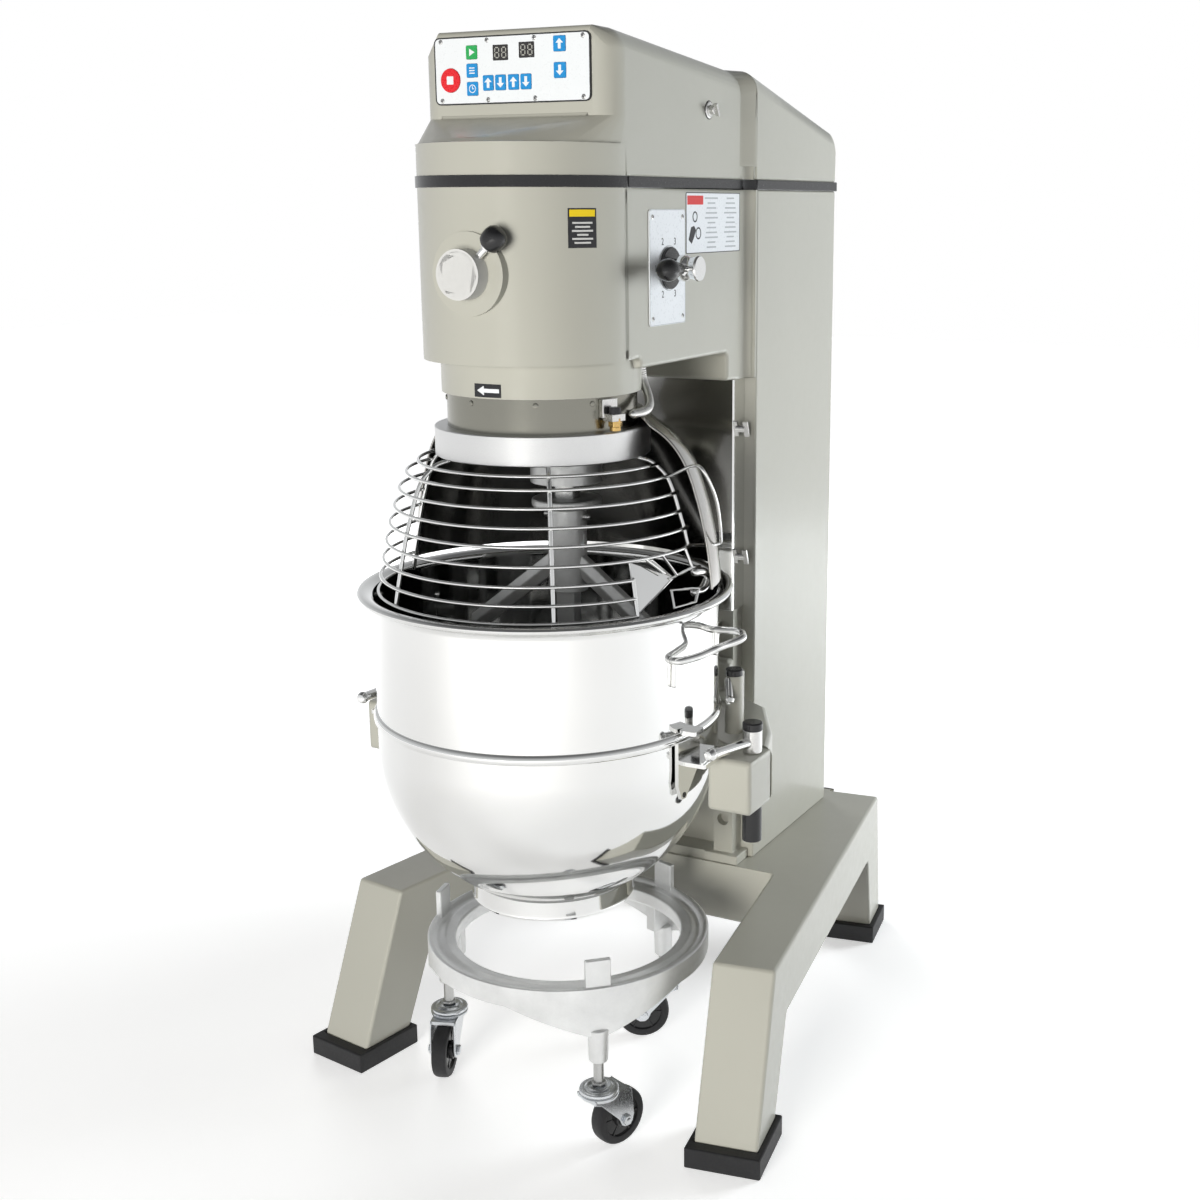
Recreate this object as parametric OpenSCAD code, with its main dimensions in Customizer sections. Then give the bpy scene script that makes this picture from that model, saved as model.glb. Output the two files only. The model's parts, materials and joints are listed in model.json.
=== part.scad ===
// Floor-standing planetary mixer: splayed base, column with a powered bowl lift, mixing head,
// bowl with its truck, guard and agitator. Millimetres, +Z up, the front faces -Y.

/* [Head] */
// Half width of the mixing head between its flat sides
head_r = 156.5; // [150:0.5:165]
// Height of the head's lower edge above the floor
head_bottom = 1147; // [1140:1:1155]
// Height of the seam between the head and its hood
seam_z = 1396; // [1390:1:1402]
// Height of the hood's roof at its front
roof_front = 1606; // [1600:1:1612]
// Distance from the bowl's axis back to the head's rear edge
head_back = 341; // [335:1:345]

/* [Column] */
// Half width of the column
column_w = 172; // [168:1:176]
// Distance from the bowl's axis to the column's front face
column_front = 372; // [368:1:376]
// Distance from the bowl's axis to the column's rear face
column_back = 697; // [680:1:710]

/* [Base] */
// Height of the top of the base beams
beam_top = 275; // [270:1:280]
// Height of each beam's box section
beam_h = 102; // [96:1:106]
// Width of each beam's box section
beam_w = 98; // [90:1:104]
// Angle by which each beam splays outwards towards the front
splay = 9.05; // [7:0.05:10]

/* [Bowl] */
// Outer radius of the bowl's wall
bowl_r = 257.5; // [250:0.5:258]
// Thickness of the bowl's wall
bowl_wall = 2.5; // [2:0.5:4]
// Height of the bowl's rim with the bowl raised
rim_z = 824; // [822:1:826]

/* [Agitator] */
// Distance from the bowl's axis to the agitator's axis
agitator_off = 62; // [62:1:62]

/* [Truck] */
// Outer radius of the bowl truck's ring
truck_r = 220; // [216:1:224]
// Height of the truck ring's upper edge
truck_top = 268; // [262:1:270]
// Radius of each castor wheel
wheel_r = 44; // [40:1:46]

/* [Hidden] */
$fn = 64;

// The row's origin lies under the middle of the whole machine, so the bowl's axis is ahead of it.
bowl_y = -260;
paint = "#a9a69b";
cast_grey = "#b9bbbb";
steel = "#c9ccd0";
black = "#1c1c1e";
panel_white = "#e9eef2";
key_blue = "#2f9bd6";
eps = 0.01;

drum_y = -20.6;          // centre of the head's round front
pad_h = 33;              // height of the rubber feet
gasket_h = 15.5;
hood_z = seam_z + gasket_h;
shoulder_z = 1454;       // where the round front of the hood turns over
console_y = -59;         // front face of the console
console_z = 1553;        // middle of the console plate
corner_r = 38;           // rounding of the hood's long edges
roof_back = 1576;        // height of the roof where front and rear hoods meet
joint_y = 366;           // where front and rear hoods meet
rear_top = 1481;         // height of the rear hood's roof near its rear corner
hub_z = 1283;            // height of the attachment hub
dial_y = 96.6;           // speed lever's axis
dial_z = 1284.6;
side_gap = 0.4;          // air between moving plates and their neighbours
sphere_z = 590;          // centre of the bowl's round bottom
foot_z = 334;            // underside of the bowl's foot ring
way_in = 113;            // inner edge of each slide way
way_out = 149;           // outer edge of each slide way
way_front = 338;         // front face of the slide ways
screw_y = 353;           // lift screw's axis
arm_out = 341;           // outer side of the yoke's arm ends
arm_in = 272;            // inner side of the yoke's arm ends
arm_low = 512;
arm_high = 593;
post_x = 322;            // clamp posts on the yoke's arm ends
post_y = 40;
truck_x = 19;            // the truck stands a little off the bowl's axis
truck_y = 12;
castor_ring = 208;       // radius at which the castors stand
castor_trail = 35;       // distance from swivel axis to wheel axle
castor_angles = [-47.5, 192.5, 72.5];
trail_angles = [70, -70, 211];
gear_m = 4;              // module of all gears
ring_teeth = 54;
planet_teeth = 23;
main_teeth = 44;
input_teeth = 21;
input_y = gear_m * (main_teeth + input_teeth) / 2;
motor_y = 530;
belt_z = 1450;

// ---------- shared shapes ----------

// Places children in the bowl's frame: x, y = 0 on the bowl's axis.
module at_bowl() translate([0, bowl_y, 0]) children();

module mirror_copy() {
    children();
    mirror([1, 0, 0]) children();
}

module ring(outer, inner, low, high) {
    translate([0, 0, low]) difference() {
        cylinder(r = outer, h = high - low);
        translate([0, 0, -1]) cylinder(r = inner, h = high - low + 2);
    }
}

// A round bar from p to q.
module bar(p, q, r) {
    d = q - p;
    translate(p) rotate([0, acos(d[2] / norm(d)), atan2(d[1], d[0])]) cylinder(r = r, h = norm(d));
}

// A bent round bar through a list of points.
module bent_bar(points, r, n = 16) for (i = [0:len(points) - 2]) hull() {
    translate(points[i]) sphere(r = r, $fn = n);
    translate(points[i + 1]) sphere(r = r, $fn = n);
}

// A cylinder from low to high about a vertical axis at (x, y).
module post(x, y, r, low, high) translate([x, y, low]) cylinder(r = r, h = high - low);

function polar(r, a, z) = [r * sin(a), -r * cos(a), z];

// A gear's outline: straight-sided teeth, the first one centred on angle phase.
function gear_points(teeth, phase, tip, root, fat) = [
    for (i = [0:teeth - 1]) for (c = [[-0.66, root], [-0.26, tip], [0.26, tip], [0.66, root]])
        let (a = phase + (i + c[0] * fat / 2) * 360 / teeth, r = gear_m * teeth / 2 + c[1] * gear_m)
            [r * cos(a), r * sin(a)],
];

module gear(teeth, phase, h) linear_extrude(h) polygon(gear_points(teeth, phase, 0.85, -1.1, 0.8));

// ---------- base ----------

// Side view of one beam with its legs, inset by w: x runs from front to rear along the beam.
function beam_side(w) = [
    [-93.3 + w, pad_h - 4], [8 - w, pad_h - 4], [71 - w * 0.8, beam_top - beam_h + w],
    [677 + w * 0.8, beam_top - beam_h + w], [711 + w, pad_h - 4], [797 - w, pad_h - 4],
    [759 - w, beam_top - w], [w * 0.7, beam_top - w],
];

// Places children on the right beam: local x runs along the beam to the rear, y inwards.
module on_beam() translate([381.2, -0.7, 0]) rotate(90 + splay) children();

module beam() on_beam() difference() {
    translate([0, beam_w, 0]) rotate([90, 0, 0]) linear_extrude(beam_w) polygon(beam_side(0));
    translate([0, beam_w - 6, 0]) rotate([90, 0, 0]) linear_extrude(beam_w - 12) polygon(beam_side(6));
}

module base_frame() color(paint) at_bowl() {
    mirror_copy() beam();
    difference() {
        translate([0, 0, beam_top - beam_h]) linear_extrude(beam_h)
            polygon([[-238, 323], [238, 323], [172, 748], [-172, 748]]);
        translate([0, 0, beam_top - beam_h - 1]) linear_extrude(beam_h - 7)
            polygon([[-222, 331], [222, 331], [160, 740], [-160, 740]]);
        mirror_copy() on_beam() translate([-10, 0, 0]) cube([780, beam_w - 3, beam_top + 1]);
    }
}

module foot_pads() color(black) at_bowl() mirror_copy() on_beam() {
    for (span = [[-113, 15], [696, 807]]) difference() {
        translate([span[0], -9, 0]) cube([span[1] - span[0], beam_w + 18, pad_h]);
        translate([0, beam_w + 0.2, 0]) rotate([90, 0, 0])
            linear_extrude(beam_w + 0.4) polygon(beam_side(-0.2));
    }
}

// ---------- column ----------

module column_outline(w) translate([0, (column_front + column_back) / 2])
    square([2 * (column_w - w), column_back - column_front - 2 * w], center = true);

module column_housing() color(paint) at_bowl() difference() {
    translate([0, 0, beam_top]) linear_extrude(seam_z - beam_top) column_outline(0);
    translate([0, 0, beam_top + 6]) linear_extrude(seam_z - beam_top) column_outline(5);
    translate([-60, column_front - 5, 640]) cube([120, 12, 34]);
}

// ---------- mixing head ----------

module head_outline(w) {
    translate([0, drum_y]) circle(r = head_r - w, $fn = 128);
    translate([-head_r + w, drum_y]) square([2 * (head_r - w), head_back - drum_y]);
}

// The cove that widens the head to the column's width, in plan.
module flare_outline(w) polygon(concat(
    [[0, head_back - 1], [head_r - w, head_back - 1]],
    [for (a = [0:15:90]) [column_w - w - (column_w - head_r) * cos(a),
        head_back + (joint_y - head_back) * sin(a)]],
    [[column_w - w, column_front - 1], [0, column_front - 1]]));

module gearcase() color(paint) at_bowl() {
    difference() {
        union() {
            translate([0, 0, head_bottom + 14]) linear_extrude(seam_z - head_bottom - 14) head_outline(0);
            rotate([90, 0, 90]) translate([0, 0, -head_r]) linear_extrude(2 * head_r)
                polygon([[14, head_bottom], [head_back, head_bottom], [head_back, 1250], [14, 1250]]);
            translate([-head_r, 296, 1103]) cube([2 * head_r, head_back - 296, 60]);
        }
        translate([0, 0, head_bottom + 22]) linear_extrude(seam_z) head_outline(8);
        translate([-200, 225, 1069]) rotate([0, 90, 0]) cylinder(r = 78, h = 400, $fn = 96);
        post(0, 0, 30, head_bottom - 1, seam_z);
        translate([0, -150, hub_z]) rotate([90, 0, 0]) cylinder(r = 25, h = 80);
    }
    difference() {
        ring(145, 134, 1113, head_bottom + 15);
        translate([-200, -200, head_bottom + 14]) cube([400, 400, 2]);
    }
    mirror_copy() translate([0, 0, 1103]) linear_extrude(seam_z - 1103) difference() {
        flare_outline(0);
        translate([-1, 300]) square([head_r - 12, 100]);
    }
    // deck that carries the input shaft's upper bearing
    difference() {
        translate([0, 0, 1376]) linear_extrude(8) head_outline(7.9);
        post(0, input_y, 24, 1300, 1400);
        translate([-60, 200, 1300]) cube([120, 100, 100]);
    }
}

// Section of the hood across the machine at distance y: width w, crown z, edges of radius r.
module hood_slice(y, w, z, r, t) {
    mirror_copy() translate([w - r, y + t, z - r]) rotate([90, 0, 0]) cylinder(r = r, h = t, $fn = 32);
    translate([-w, y, hood_z + 20]) cube([2 * w, t, 10]);
}

module hood_body(w) {
    hull() {
        mirror_copy() translate([head_r - corner_r, console_y + corner_r, shoulder_z + 20])
            cylinder(r = corner_r - w, h = roof_front - shoulder_z - 20 - corner_r + 8, $fn = 32);
        mirror_copy() translate([head_r - corner_r, console_y + corner_r, roof_front - corner_r])
            sphere(r = corner_r - w, $fn = 32);
        translate([0, console_y + 9, roof_front - 9]) rotate([0, 90, 0])
            cylinder(r = 9 - min(w, 8), h = 2 * 122, center = true, $fn = 24);
        hood_slice(head_back - 1, head_r - w, roof_back - w, corner_r - w, 1);
    }
    hull() {
        translate([0, drum_y, shoulder_z - 6]) cylinder(r = head_r - w, h = 1, $fn = 64);
        translate([0, drum_y, shoulder_z + 5]) cylinder(r = head_r - 14 - w, h = 1, $fn = 64);
        translate([-head_r + w, 0, shoulder_z - 6]) cube([2 * (head_r - w), 40, 30]);
        mirror_copy() translate([head_r - corner_r, console_y + corner_r, shoulder_z])
            cylinder(r = corner_r - w, h = 36 - w, $fn = 32);
    }
}

module hood_front() color(paint) at_bowl() difference() {
    union() {
        hood_body(0);
        translate([0, 0, hood_z]) linear_extrude(shoulder_z - hood_z) head_outline(0);
        translate([-head_r, 0, shoulder_z - 8]) cube([2 * head_r, head_back, 60]);
        hull() {
            hood_slice(head_back - 1, head_r, roof_back, corner_r, 1);
            hood_slice(joint_y - 1, column_w, roof_back - 1, 32, 1);
        }
        mirror_copy() translate([0, 0, hood_z]) linear_extrude(30) intersection() {
            flare_outline(0);
            square([200, joint_y]);
        }
    }
    hood_body(4);
    translate([0, 0, hood_z - 1]) linear_extrude(shoulder_z - hood_z) head_outline(4);
    translate([-head_r + 4, 0, hood_z - 1]) cube([2 * head_r - 8, head_back + 40, shoulder_z - hood_z + 40]);
}

module rear_body(w) hull() {
    hood_slice(joint_y + 2 + w, column_w - w, roof_back - 1 - w, 32 - w, 1);
    mirror_copy() translate([column_w - 26, column_back - 40, rear_top - 40 + 12])
        rotate([0, 90, 0]) cylinder(r = 40 - w, h = 26 - w, $fn = 32);
    translate([-column_w + w, joint_y + 2 + w, hood_z])
        cube([2 * (column_w - w), column_back - joint_y - 2 - 2 * w, 20]);
}

module hood_rear() color(paint) at_bowl() difference() {
    rear_body(0);
    rear_body(4);
    translate([-column_w + 4, joint_y + 6, hood_z - 1])
        cube([2 * column_w - 8, column_back - joint_y - 10, 12]);
    // the belt's way through to the head
    translate([-145, joint_y, hood_z - 1]) cube([290, 8, 70]);
}

module gasket_outline(w) {
    head_outline(w);
    mirror_copy() flare_outline(w);
    translate([-column_w + w, joint_y]) square([2 * (column_w - w), column_back - joint_y - w]);
}

module hood_gasket() color(black) at_bowl() translate([0, 0, seam_z]) linear_extrude(gasket_h) difference() {
    gasket_outline(-2.5);
    gasket_outline(9);
}

module hood_latches() color(steel) at_bowl() mirror_copy() translate([head_r, 230, 1510]) {
    rotate([0, 90, 0]) cylinder(r = 9, h = 3);
    rotate([0, 90, 0]) cylinder(r = 5, h = 12);
    translate([12, 0, 0]) cube([9, 5, 26], center = true);
}

// ---------- console ----------

// Puts a child's +Z along -Y at a place on the console plate.
module on_console(x, z, lift = 0) translate([x, console_y - lift, z]) rotate([90, 0, 0]) children();

module rounded_plate(w, h, r, t) linear_extrude(t) {
    square([w, h - 2 * r], center = true);
    square([w - 2 * r, h], center = true);
    for (sx = [-1, 1]) for (sy = [-1, 1]) translate([sx * (w / 2 - r), sy * (h / 2 - r)]) circle(r = r);
}

// Places and sizes of the keys: x and z from the plate's centre, then width and height.
stop_at = [-99, -12, 21, 29];
start_at = [-63, 24, 18, 18];
manual_at = [-63, 0, 18, 18];
timer_at = [-63, -24, 18, 18];
arrow_w = 17;
arrow_z = -17;
minute_x = -27;
second_x = 14;
bowl_x = 78;
bowl_up_z = 30;
bowl_down_z = -4;
displays = [[-16, 22], [26, 24]];
key_t = 3;

module key_hole(at) on_console(at[0], console_z + at[1], -1)
    rounded_plate(at[2] + 2 * side_gap, at[3] + 2 * side_gap, 2, 8);

keys = [start_at, manual_at, timer_at,
    [minute_x - 10, arrow_z, arrow_w, 20], [minute_x + 10, arrow_z, arrow_w, 20],
    [second_x - 10, arrow_z, arrow_w, 20], [second_x + 10, arrow_z, arrow_w, 20],
    [bowl_x, bowl_up_z, 19, 20], [bowl_x, bowl_down_z, 19, 20]];

module console_plate() color(panel_white) at_bowl() difference() {
    on_console(0, console_z) rounded_plate(250, 89, 8, 3);
    for (k = keys) key_hole(k);
    on_console(stop_at[0], console_z + stop_at[1], -1) cylinder(r = 16 + side_gap, h = 8);
    for (d = displays) on_console(d[0], console_z + d[1], -1) translate([0, 0, 4])
        linear_extrude(6) square([25, 20], center = true);
    for (x = [-114, -38, 38, 114]) for (z = [-39, 39])
        on_console(x, console_z + z, -1) cylinder(r = 2.6, h = 8);
}

module timer_displays() color(black) at_bowl() for (d = displays)
    on_console(d[0], console_z + d[1], 1.7) translate([0, 0, 0.3])
        linear_extrude(1.6) square([24.4, 19.4], center = true);

module panel_screws() color(steel) at_bowl() {
    for (x = [-114, -38, 38, 114]) for (z = [-39, 39]) {
        on_console(x, console_z + z, -6) cylinder(r = 2.2, h = 9);
        on_console(x, console_z + z, 3) cylinder(r = 4, h = 1.6);
    }
    for (y = [-46, 46]) for (z = [-71, 71]) translate([head_r + 2, dial_y - 4 + y, dial_z + 1 + z])
        rotate([0, 90, 0]) cylinder(r = 3.6, h = 1.6);
}

module key(at) on_console(at[0], console_z + at[1], 0.8) rounded_plate(at[2], at[3], 2, key_t);

module stop_button() color("red") at_bowl()
    on_console(stop_at[0], console_z + stop_at[1], 0.8) cylinder(r = 16, h = key_t + 1);
module start_button() color("green") at_bowl() key(start_at);
module manual_button() color(key_blue) at_bowl() key(manual_at);
module timer_button() color(key_blue) at_bowl() key(timer_at);
module minutes_up() color(key_blue) at_bowl() key(keys[3]);
module minutes_down() color(key_blue) at_bowl() key(keys[4]);
module seconds_up() color(key_blue) at_bowl() key(keys[5]);
module seconds_down() color(key_blue) at_bowl() key(keys[6]);
module bowl_up() color(key_blue) at_bowl() key(keys[7]);
module bowl_down() color(key_blue) at_bowl() key(keys[8]);

// ---------- speed lever and attachment hub ----------

module speed_plate() color(panel_white) at_bowl() difference() {
    translate([head_r, dial_y - 4, dial_z + 1]) rotate([90, 0, 90]) rounded_plate(110, 163, 10, 2);
    translate([head_r - 1, dial_y, dial_z]) rotate([0, 90, 0]) cylinder(r = 15.05, h = 10);
}

module speed_hub() color(black) at_bowl() translate([head_r, dial_y, dial_z]) rotate([0, 90, 0]) {
    translate([0, 0, 0.4]) cylinder(r = 15, h = 2);
    translate([0, 0, 2.4]) cylinder(r = 30, h = 5);
    cylinder(r = 13, h = 44);
}

module speed_lever() color(steel) at_bowl() translate([head_r + 27, dial_y, dial_z]) {
    difference() {
        rotate([0, 90, 0]) cylinder(r = 19, h = 20);
        rotate([0, 90, 0]) translate([0, 0, -1]) cylinder(r = 13, h = 22);
    }
    bar([10, -17, 0], [10, -52, 0], 5);
    translate([10, -50, 0]) rotate([90, 0, 0]) cylinder(r1 = 9, r2 = 16, h = 26);
    translate([10, -76, 0]) rotate([90, 0, 0]) cylinder(r1 = 16, r2 = 9, h = 10);
}

module hub_housing() color(paint) at_bowl() difference() {
    union() {
        translate([0, -166, hub_z]) rotate([90, 0, 0]) cylinder(r = 56, h = 15);
        translate([0, -180, hub_z]) rotate([90, 0, 0]) cylinder(r = 33, h = 19);
    }
    translate([0, drum_y, hub_z - 100]) cylinder(r = head_r + 0.05, h = 200, $fn = 128);
    translate([0, -100, hub_z]) rotate([90, 0, 0]) cylinder(r = 20, h = 120);
    translate([0, -191, hub_z]) rotate([0, 47, 0]) cylinder(r = 5.05, h = 60);
}

module hub_cap() color(cast_grey) at_bowl() {
    translate([0, -199.3, hub_z]) rotate([90, 0, 0]) cylinder(r = 33.6, h = 6);
    translate([0, -172, hub_z]) rotate([90, 0, 0]) difference() {
        cylinder(r = 19.95, h = 30);
        translate([0, 0, -1]) cylinder(r = 15, h = 26);
    }
}

module hub_thumbscrew() color(black) at_bowl() translate([0, -191, hub_z]) rotate([0, 47, 0]) {
    translate([0, 0, 21.5]) cylinder(r = 5, h = 20);
    translate([0, 0, 36]) cylinder(r1 = 7.5, r2 = 9, h = 24);
    intersection() {
        translate([0, 0, 68]) rotate([90, 0, 0]) cylinder(r = 18, h = 13, center = true);
        translate([0, 0, 70]) cube([44, 24, 24], center = true);
    }
}

// ---------- drive ----------

module motor() color("#59616b") at_bowl() translate([0, motor_y, 0]) {
    difference() {
        post(0, 0, 88, 1180, 1400);
        post(0, 0, 70, 1200, 1380);
        post(0, 0, 14.05, 1100, 1500);
    }
    difference() {
        translate([-130, -110, 1400]) cube([260, 220, 8]);
        post(0, 0, 14.05, 1390, 1420);
    }
    difference() {
        mirror_copy() translate([120, -110, 1380]) {
            cube([42, 220, 28]);
            cube([46.9, 220, 15]);
        }
        mirror_copy() translate([124, -111, 1372]) cube([36, 222, 28]);
    }
}

module motor_rotor() color(steel) at_bowl() translate([0, motor_y, 0]) {
    post(0, 0, 14, 1190, 1475);
    post(0, 0, 62, 1225, 1355);
    difference() {
        post(0, 0, 50, belt_z - 14, belt_z + 14);
        ring(60, 45.2, belt_z - 9, belt_z + 9);
    }
}

// A loop in plan round the two pulleys, w outside their running surfaces.
module belt_outline(w) hull() {
    translate([0, input_y]) circle(r = 90.4 + w, $fn = 96);
    translate([0, motor_y]) circle(r = 45.5 + w, $fn = 64);
}

module drive_belt() color(black) at_bowl() translate([0, 0, belt_z - 8]) linear_extrude(16) difference() {
    belt_outline(9);
    belt_outline(0);
}

module input_shaft() color(steel) at_bowl() translate([0, input_y, 0]) {
    post(0, 0, 16, 1178, 1475);
    translate([0, 0, 1200]) gear(input_teeth, -90 + 180 / input_teeth, 34);
    difference() {
        post(0, 0, 95, belt_z - 14, belt_z + 14);
        ring(110, 90.1, belt_z - 9, belt_z + 9);
    }
}

module planetary_carrier() color("#8d9092") at_bowl() {
    post(0, 0, 22, 1110, 1330);
    translate([0, 0, 1200]) gear(main_teeth, 90, 34);
    post(0, 0, 98, 1110, 1122);
    difference() {
        union() {
            post(0, 0, 128, 1036, 1076);
            post(0, agitator_off, 54, 968, 1037);
            intersection() {
                post(0, 0, 98, 1075, 1111);
                translate([-100, -100, 1070]) cube([200, 62, 60]);
            }
        }
        post(0, agitator_off, 20.05, 900, 1111);
    }
}

module internal_gear() color(steel) at_bowl() translate([0, 0, 1082]) difference() {
    cylinder(r = 133, h = 24, $fn = 128);
    translate([0, 0, -1]) linear_extrude(26)
        polygon(gear_points(ring_teeth, 90, 1.15, -0.75, 1.25));
}

module agitator_shaft() color(steel) at_bowl() translate([0, agitator_off, 0]) {
    post(0, 0, 20, 905, 1109);
    translate([0, 0, 1083]) gear(planet_teeth, 90, 22);
    bar([-30, 0, 915], [30, 0, 915], 5);
}

function beater_half(z) = sqrt(pow(245, 2) - pow(max(sphere_z - z, 0), 2)) - agitator_off;

module beater_outline(w) polygon(concat(
    [for (z = [378 + w * 1.2:22:590]) [beater_half(z) - w, z]],
    [[beater_half(590) - w, 745 - w / 2], [28, 862 - w * 1.3], [-28, 862 - w * 1.3], [-beater_half(590) + w, 745 - w / 2]],
    [for (z = [576 + w * 1.2 - w * 1.2:-22:378 + w * 1.2]) [-beater_half(z) + w, z]]));

module beater() color(cast_grey) at_bowl() translate([0, agitator_off, 0]) difference() {
    union() {
        difference() {
            rotate([90, 0, 0]) linear_extrude(24, center = true) beater_outline(0);
            rotate([90, 0, 0]) linear_extrude(40, center = true) difference() {
                beater_outline(26);
                translate([-12, 300]) square([24, 600]);
                for (z = [480, 600]) translate([-200, z]) square([400, 20]);
            }
        }
        post(0, 0, 29, 800, 932);
        post(0, 0, 52, 930, 943);
    }
    post(0, 0, 20.1, 890, 950);
    translate([-34, -5.3, 880]) cube([68, 10.6, 40.4]);
}

module bearings() color(steel) at_bowl() {
    ring(30, 22.05, head_bottom + 2, head_bottom + 21);
    translate([0, input_y, 0]) ring(24, 16.05, 1376, 1384);
    translate([0, motor_y, 0]) ring(32, 14.05, 1202, 1214);
    translate([0, motor_y, 0]) ring(32, 14.05, 1366, 1378);
}

// ---------- guard ----------

// The band's lower lip carries the guard's ring.
module steel_band() color(steel) at_bowl() {
    ring(138, 133.5, 1050, 1113);
    ring(146, 137.5, 1050, 1055.2);
}

module guard_ring() color(cast_grey) at_bowl() translate([0, 0, 1021.6]) difference() {
    cylinder(r = 157, h = 42.1, $fn = 128);
    translate([0, 0, -1]) cylinder(r = 150, h = 36, $fn = 128);
    translate([0, 0, 34]) cylinder(r = 138.06, h = 10, $fn = 128);
}

// Radius and height of each hoop of the wire guard.
hoops = [[182.5, 1013], [200, 997], [211, 973.5], [219, 948], [226.5, 923.5], [232.5, 897.5],
    [238, 871], [243, 846], [247.5, 822]];
stay_angles = [-90, -29, 34, 95];
wire_r = 2.6;

module hoop(h, from, to) rotate(-90 + from)
    rotate_extrude(angle = to - from, $fn = 72) translate([h[0], h[1]]) circle(r = wire_r, $fn = 8);

module guard_cage() color(steel) at_bowl() {
    for (i = [0:5]) hoop(hoops[i], -91, 96);
    for (i = [6:8]) hoop(hoops[i], -91, 62);
    for (a = stay_angles) bent_bar(concat([polar(153.5, a, 1021)],
        [for (i = [0:8]) if (a < 90 || i < 6) polar(hoops[i][0] - 2, a, hoops[i][1])]), wire_r + 0.8, 8);
}

module guard_chute() color(steel) at_bowl() {
    bent_bar([polar(237, 62, 871), polar(246, 62, 822)], 3.2);
    translate(polar(212, 76, 862)) rotate([0, 0, 76]) {
        difference() {
            hull() {
                translate([-38, -14, 0]) cube([76, 3, 36]);
                translate([-30, 30, -42]) cube([60, 3, 3]);
            }
            hull() {
                translate([-36, -20, 4]) cube([72, 6, 40]);
                translate([-28, 26, -36]) cube([56, 3, 40]);
            }
        }
    }
    bar(polar(231.5, 64, 897), polar(221, 66, 893), 3);
}

// Half section of the rear shield, from its neck to its lower edge.
shield_line = [[143, 1084], [168, 1064], [197, 1043], [221, 1012], [236, 972], [246, 932],
    [254, 893], [259, 860], [261, 834]];

module rear_shield() color(steel) at_bowl() {
    rotate(7) rotate_extrude(angle = 166) polygon(concat(shield_line,
        [for (i = [len(shield_line) - 1:-1:0]) shield_line[i] - [1.6, 0.4]]));
    rotate(15) rotate_extrude(angle = 150) polygon([[137.9, 1082], [144, 1082], [144, 1085], [137.9, 1085]]);
}

module guard_switch() color(steel) at_bowl() rotate(-18) {
    translate([138, -14, 1086]) cube([8, 28, 24]);
    translate([143, -12, 1068]) cube([24, 24, 22]);
    translate([156, 0, 1064.2]) cylinder(r = 5, h = 6);
}

conduit_route = [[128, 66, 1147], [129, 68, 1130], [133, 66, 1119], [140, 61, 1109], [148, 52, 1100],
    [155, 40, 1094], [160, 26, 1090], [162, 12, 1088], [162, -4, 1087], [160, -24, 1085]];

module switch_conduit() color(steel) at_bowl() {
    bent_bar(conduit_route, 6.5);
}

// ---------- bowl lift ----------

module slide_ways() color(paint) at_bowl() {
    mirror_copy() difference() {
        translate([way_in, way_front, beam_top]) cube([way_out - way_in, column_front - way_front, 1103 - beam_top]);
        for (z = [350, 690, 1040]) translate([(way_in + way_out) / 2, way_front - 1, z])
            rotate([-90, 0, 0]) cylinder(r = 10.5, h = 16);
    }
    difference() {
        translate([-way_in - 4, 330, beam_top]) cube([2 * way_in + 8, 41.9, 16]);
        post(0, screw_y, 12.05, beam_top + 4, 320);
    }
    mirror_copy() translate([way_in - 12, 326, beam_top]) cube([62, 46, 16]);
}

module splash_panel() color(steel) at_bowl() {
    translate([-152, 326, 722]) cube([304, 2, 380]);
    mirror_copy() translate([150, 328 - eps, 722]) cube([2, column_front - 328, 380]);
}

module wing_nuts() color(steel) at_bowl() mirror_copy() for (z = [808, 1020]) translate([152, 358, z]) {
    rotate([0, 90, 0]) cylinder(r = 6, h = 8);
    translate([9, 0, 0]) rotate([20, 0, 0]) cube([8, 4, 26], center = true);
}

module lift_motor() color("#59616b") at_bowl() {
    translate([-48, 400, 600]) cube([96, 110, 96]);
    translate([-40, 376, 640]) cube([80, 30, 30]);
    translate([0, 455, 480]) cylinder(r = 46, h = 120);
    translate([-40, 377, beam_top + 6]) cube([80, 130, 8]);
    translate([-34, 420, beam_top + 6]) cube([68, 68, 210]);
}

module lift_screw() color(steel) at_bowl() {
    post(0, screw_y, 12, beam_top + 5, 1095);
    difference() {
        post(0, screw_y, 14, 420, 1000);
        for (z = [700:24:980]) translate([0, screw_y, z]) ring(16, 12.6, 0, 8);
    }
}

module arm_half() {
    // arm end that holds the bowl
    difference() {
        translate([arm_in, -10, arm_low]) cube([arm_out - arm_in, 78, arm_high - arm_low]);
        post(post_x, post_y, 10.05, arm_high - 34, arm_high + 1);
    }
    // arm back to the carriage
    translate([0, 0, arm_low + 4]) linear_extrude(arm_high - arm_low - 8)
        polygon([[arm_in + 6, 66], [arm_out - 6, 66], [arm_out - 36, 150], [244, 262], [150, 316], [108, 316],
            [108, 290], [196, 238], [256, 160]]);
}

module yoke() color(paint) at_bowl() {
    mirror_copy() arm_half();
    translate([-152, 312, 480]) cube([304, way_front - 312 - 0.4, 160]);
    difference() {
        translate([-way_in + 0.4, way_front - 1, 480]) cube([2 * way_in - 0.8, 30, 160]);
        post(0, screw_y, 14.06, 470, 650);
    }
    mirror_copy() post(post_x, post_y, 14, 456, arm_low + 5);
    mirror_copy() post(238, 160, 13, 580, 676);
}

function bowl_arc(r, from, to, step) = [for (a = [from:step:to]) [r * sin(a), sphere_z - r * cos(a)]];

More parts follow.
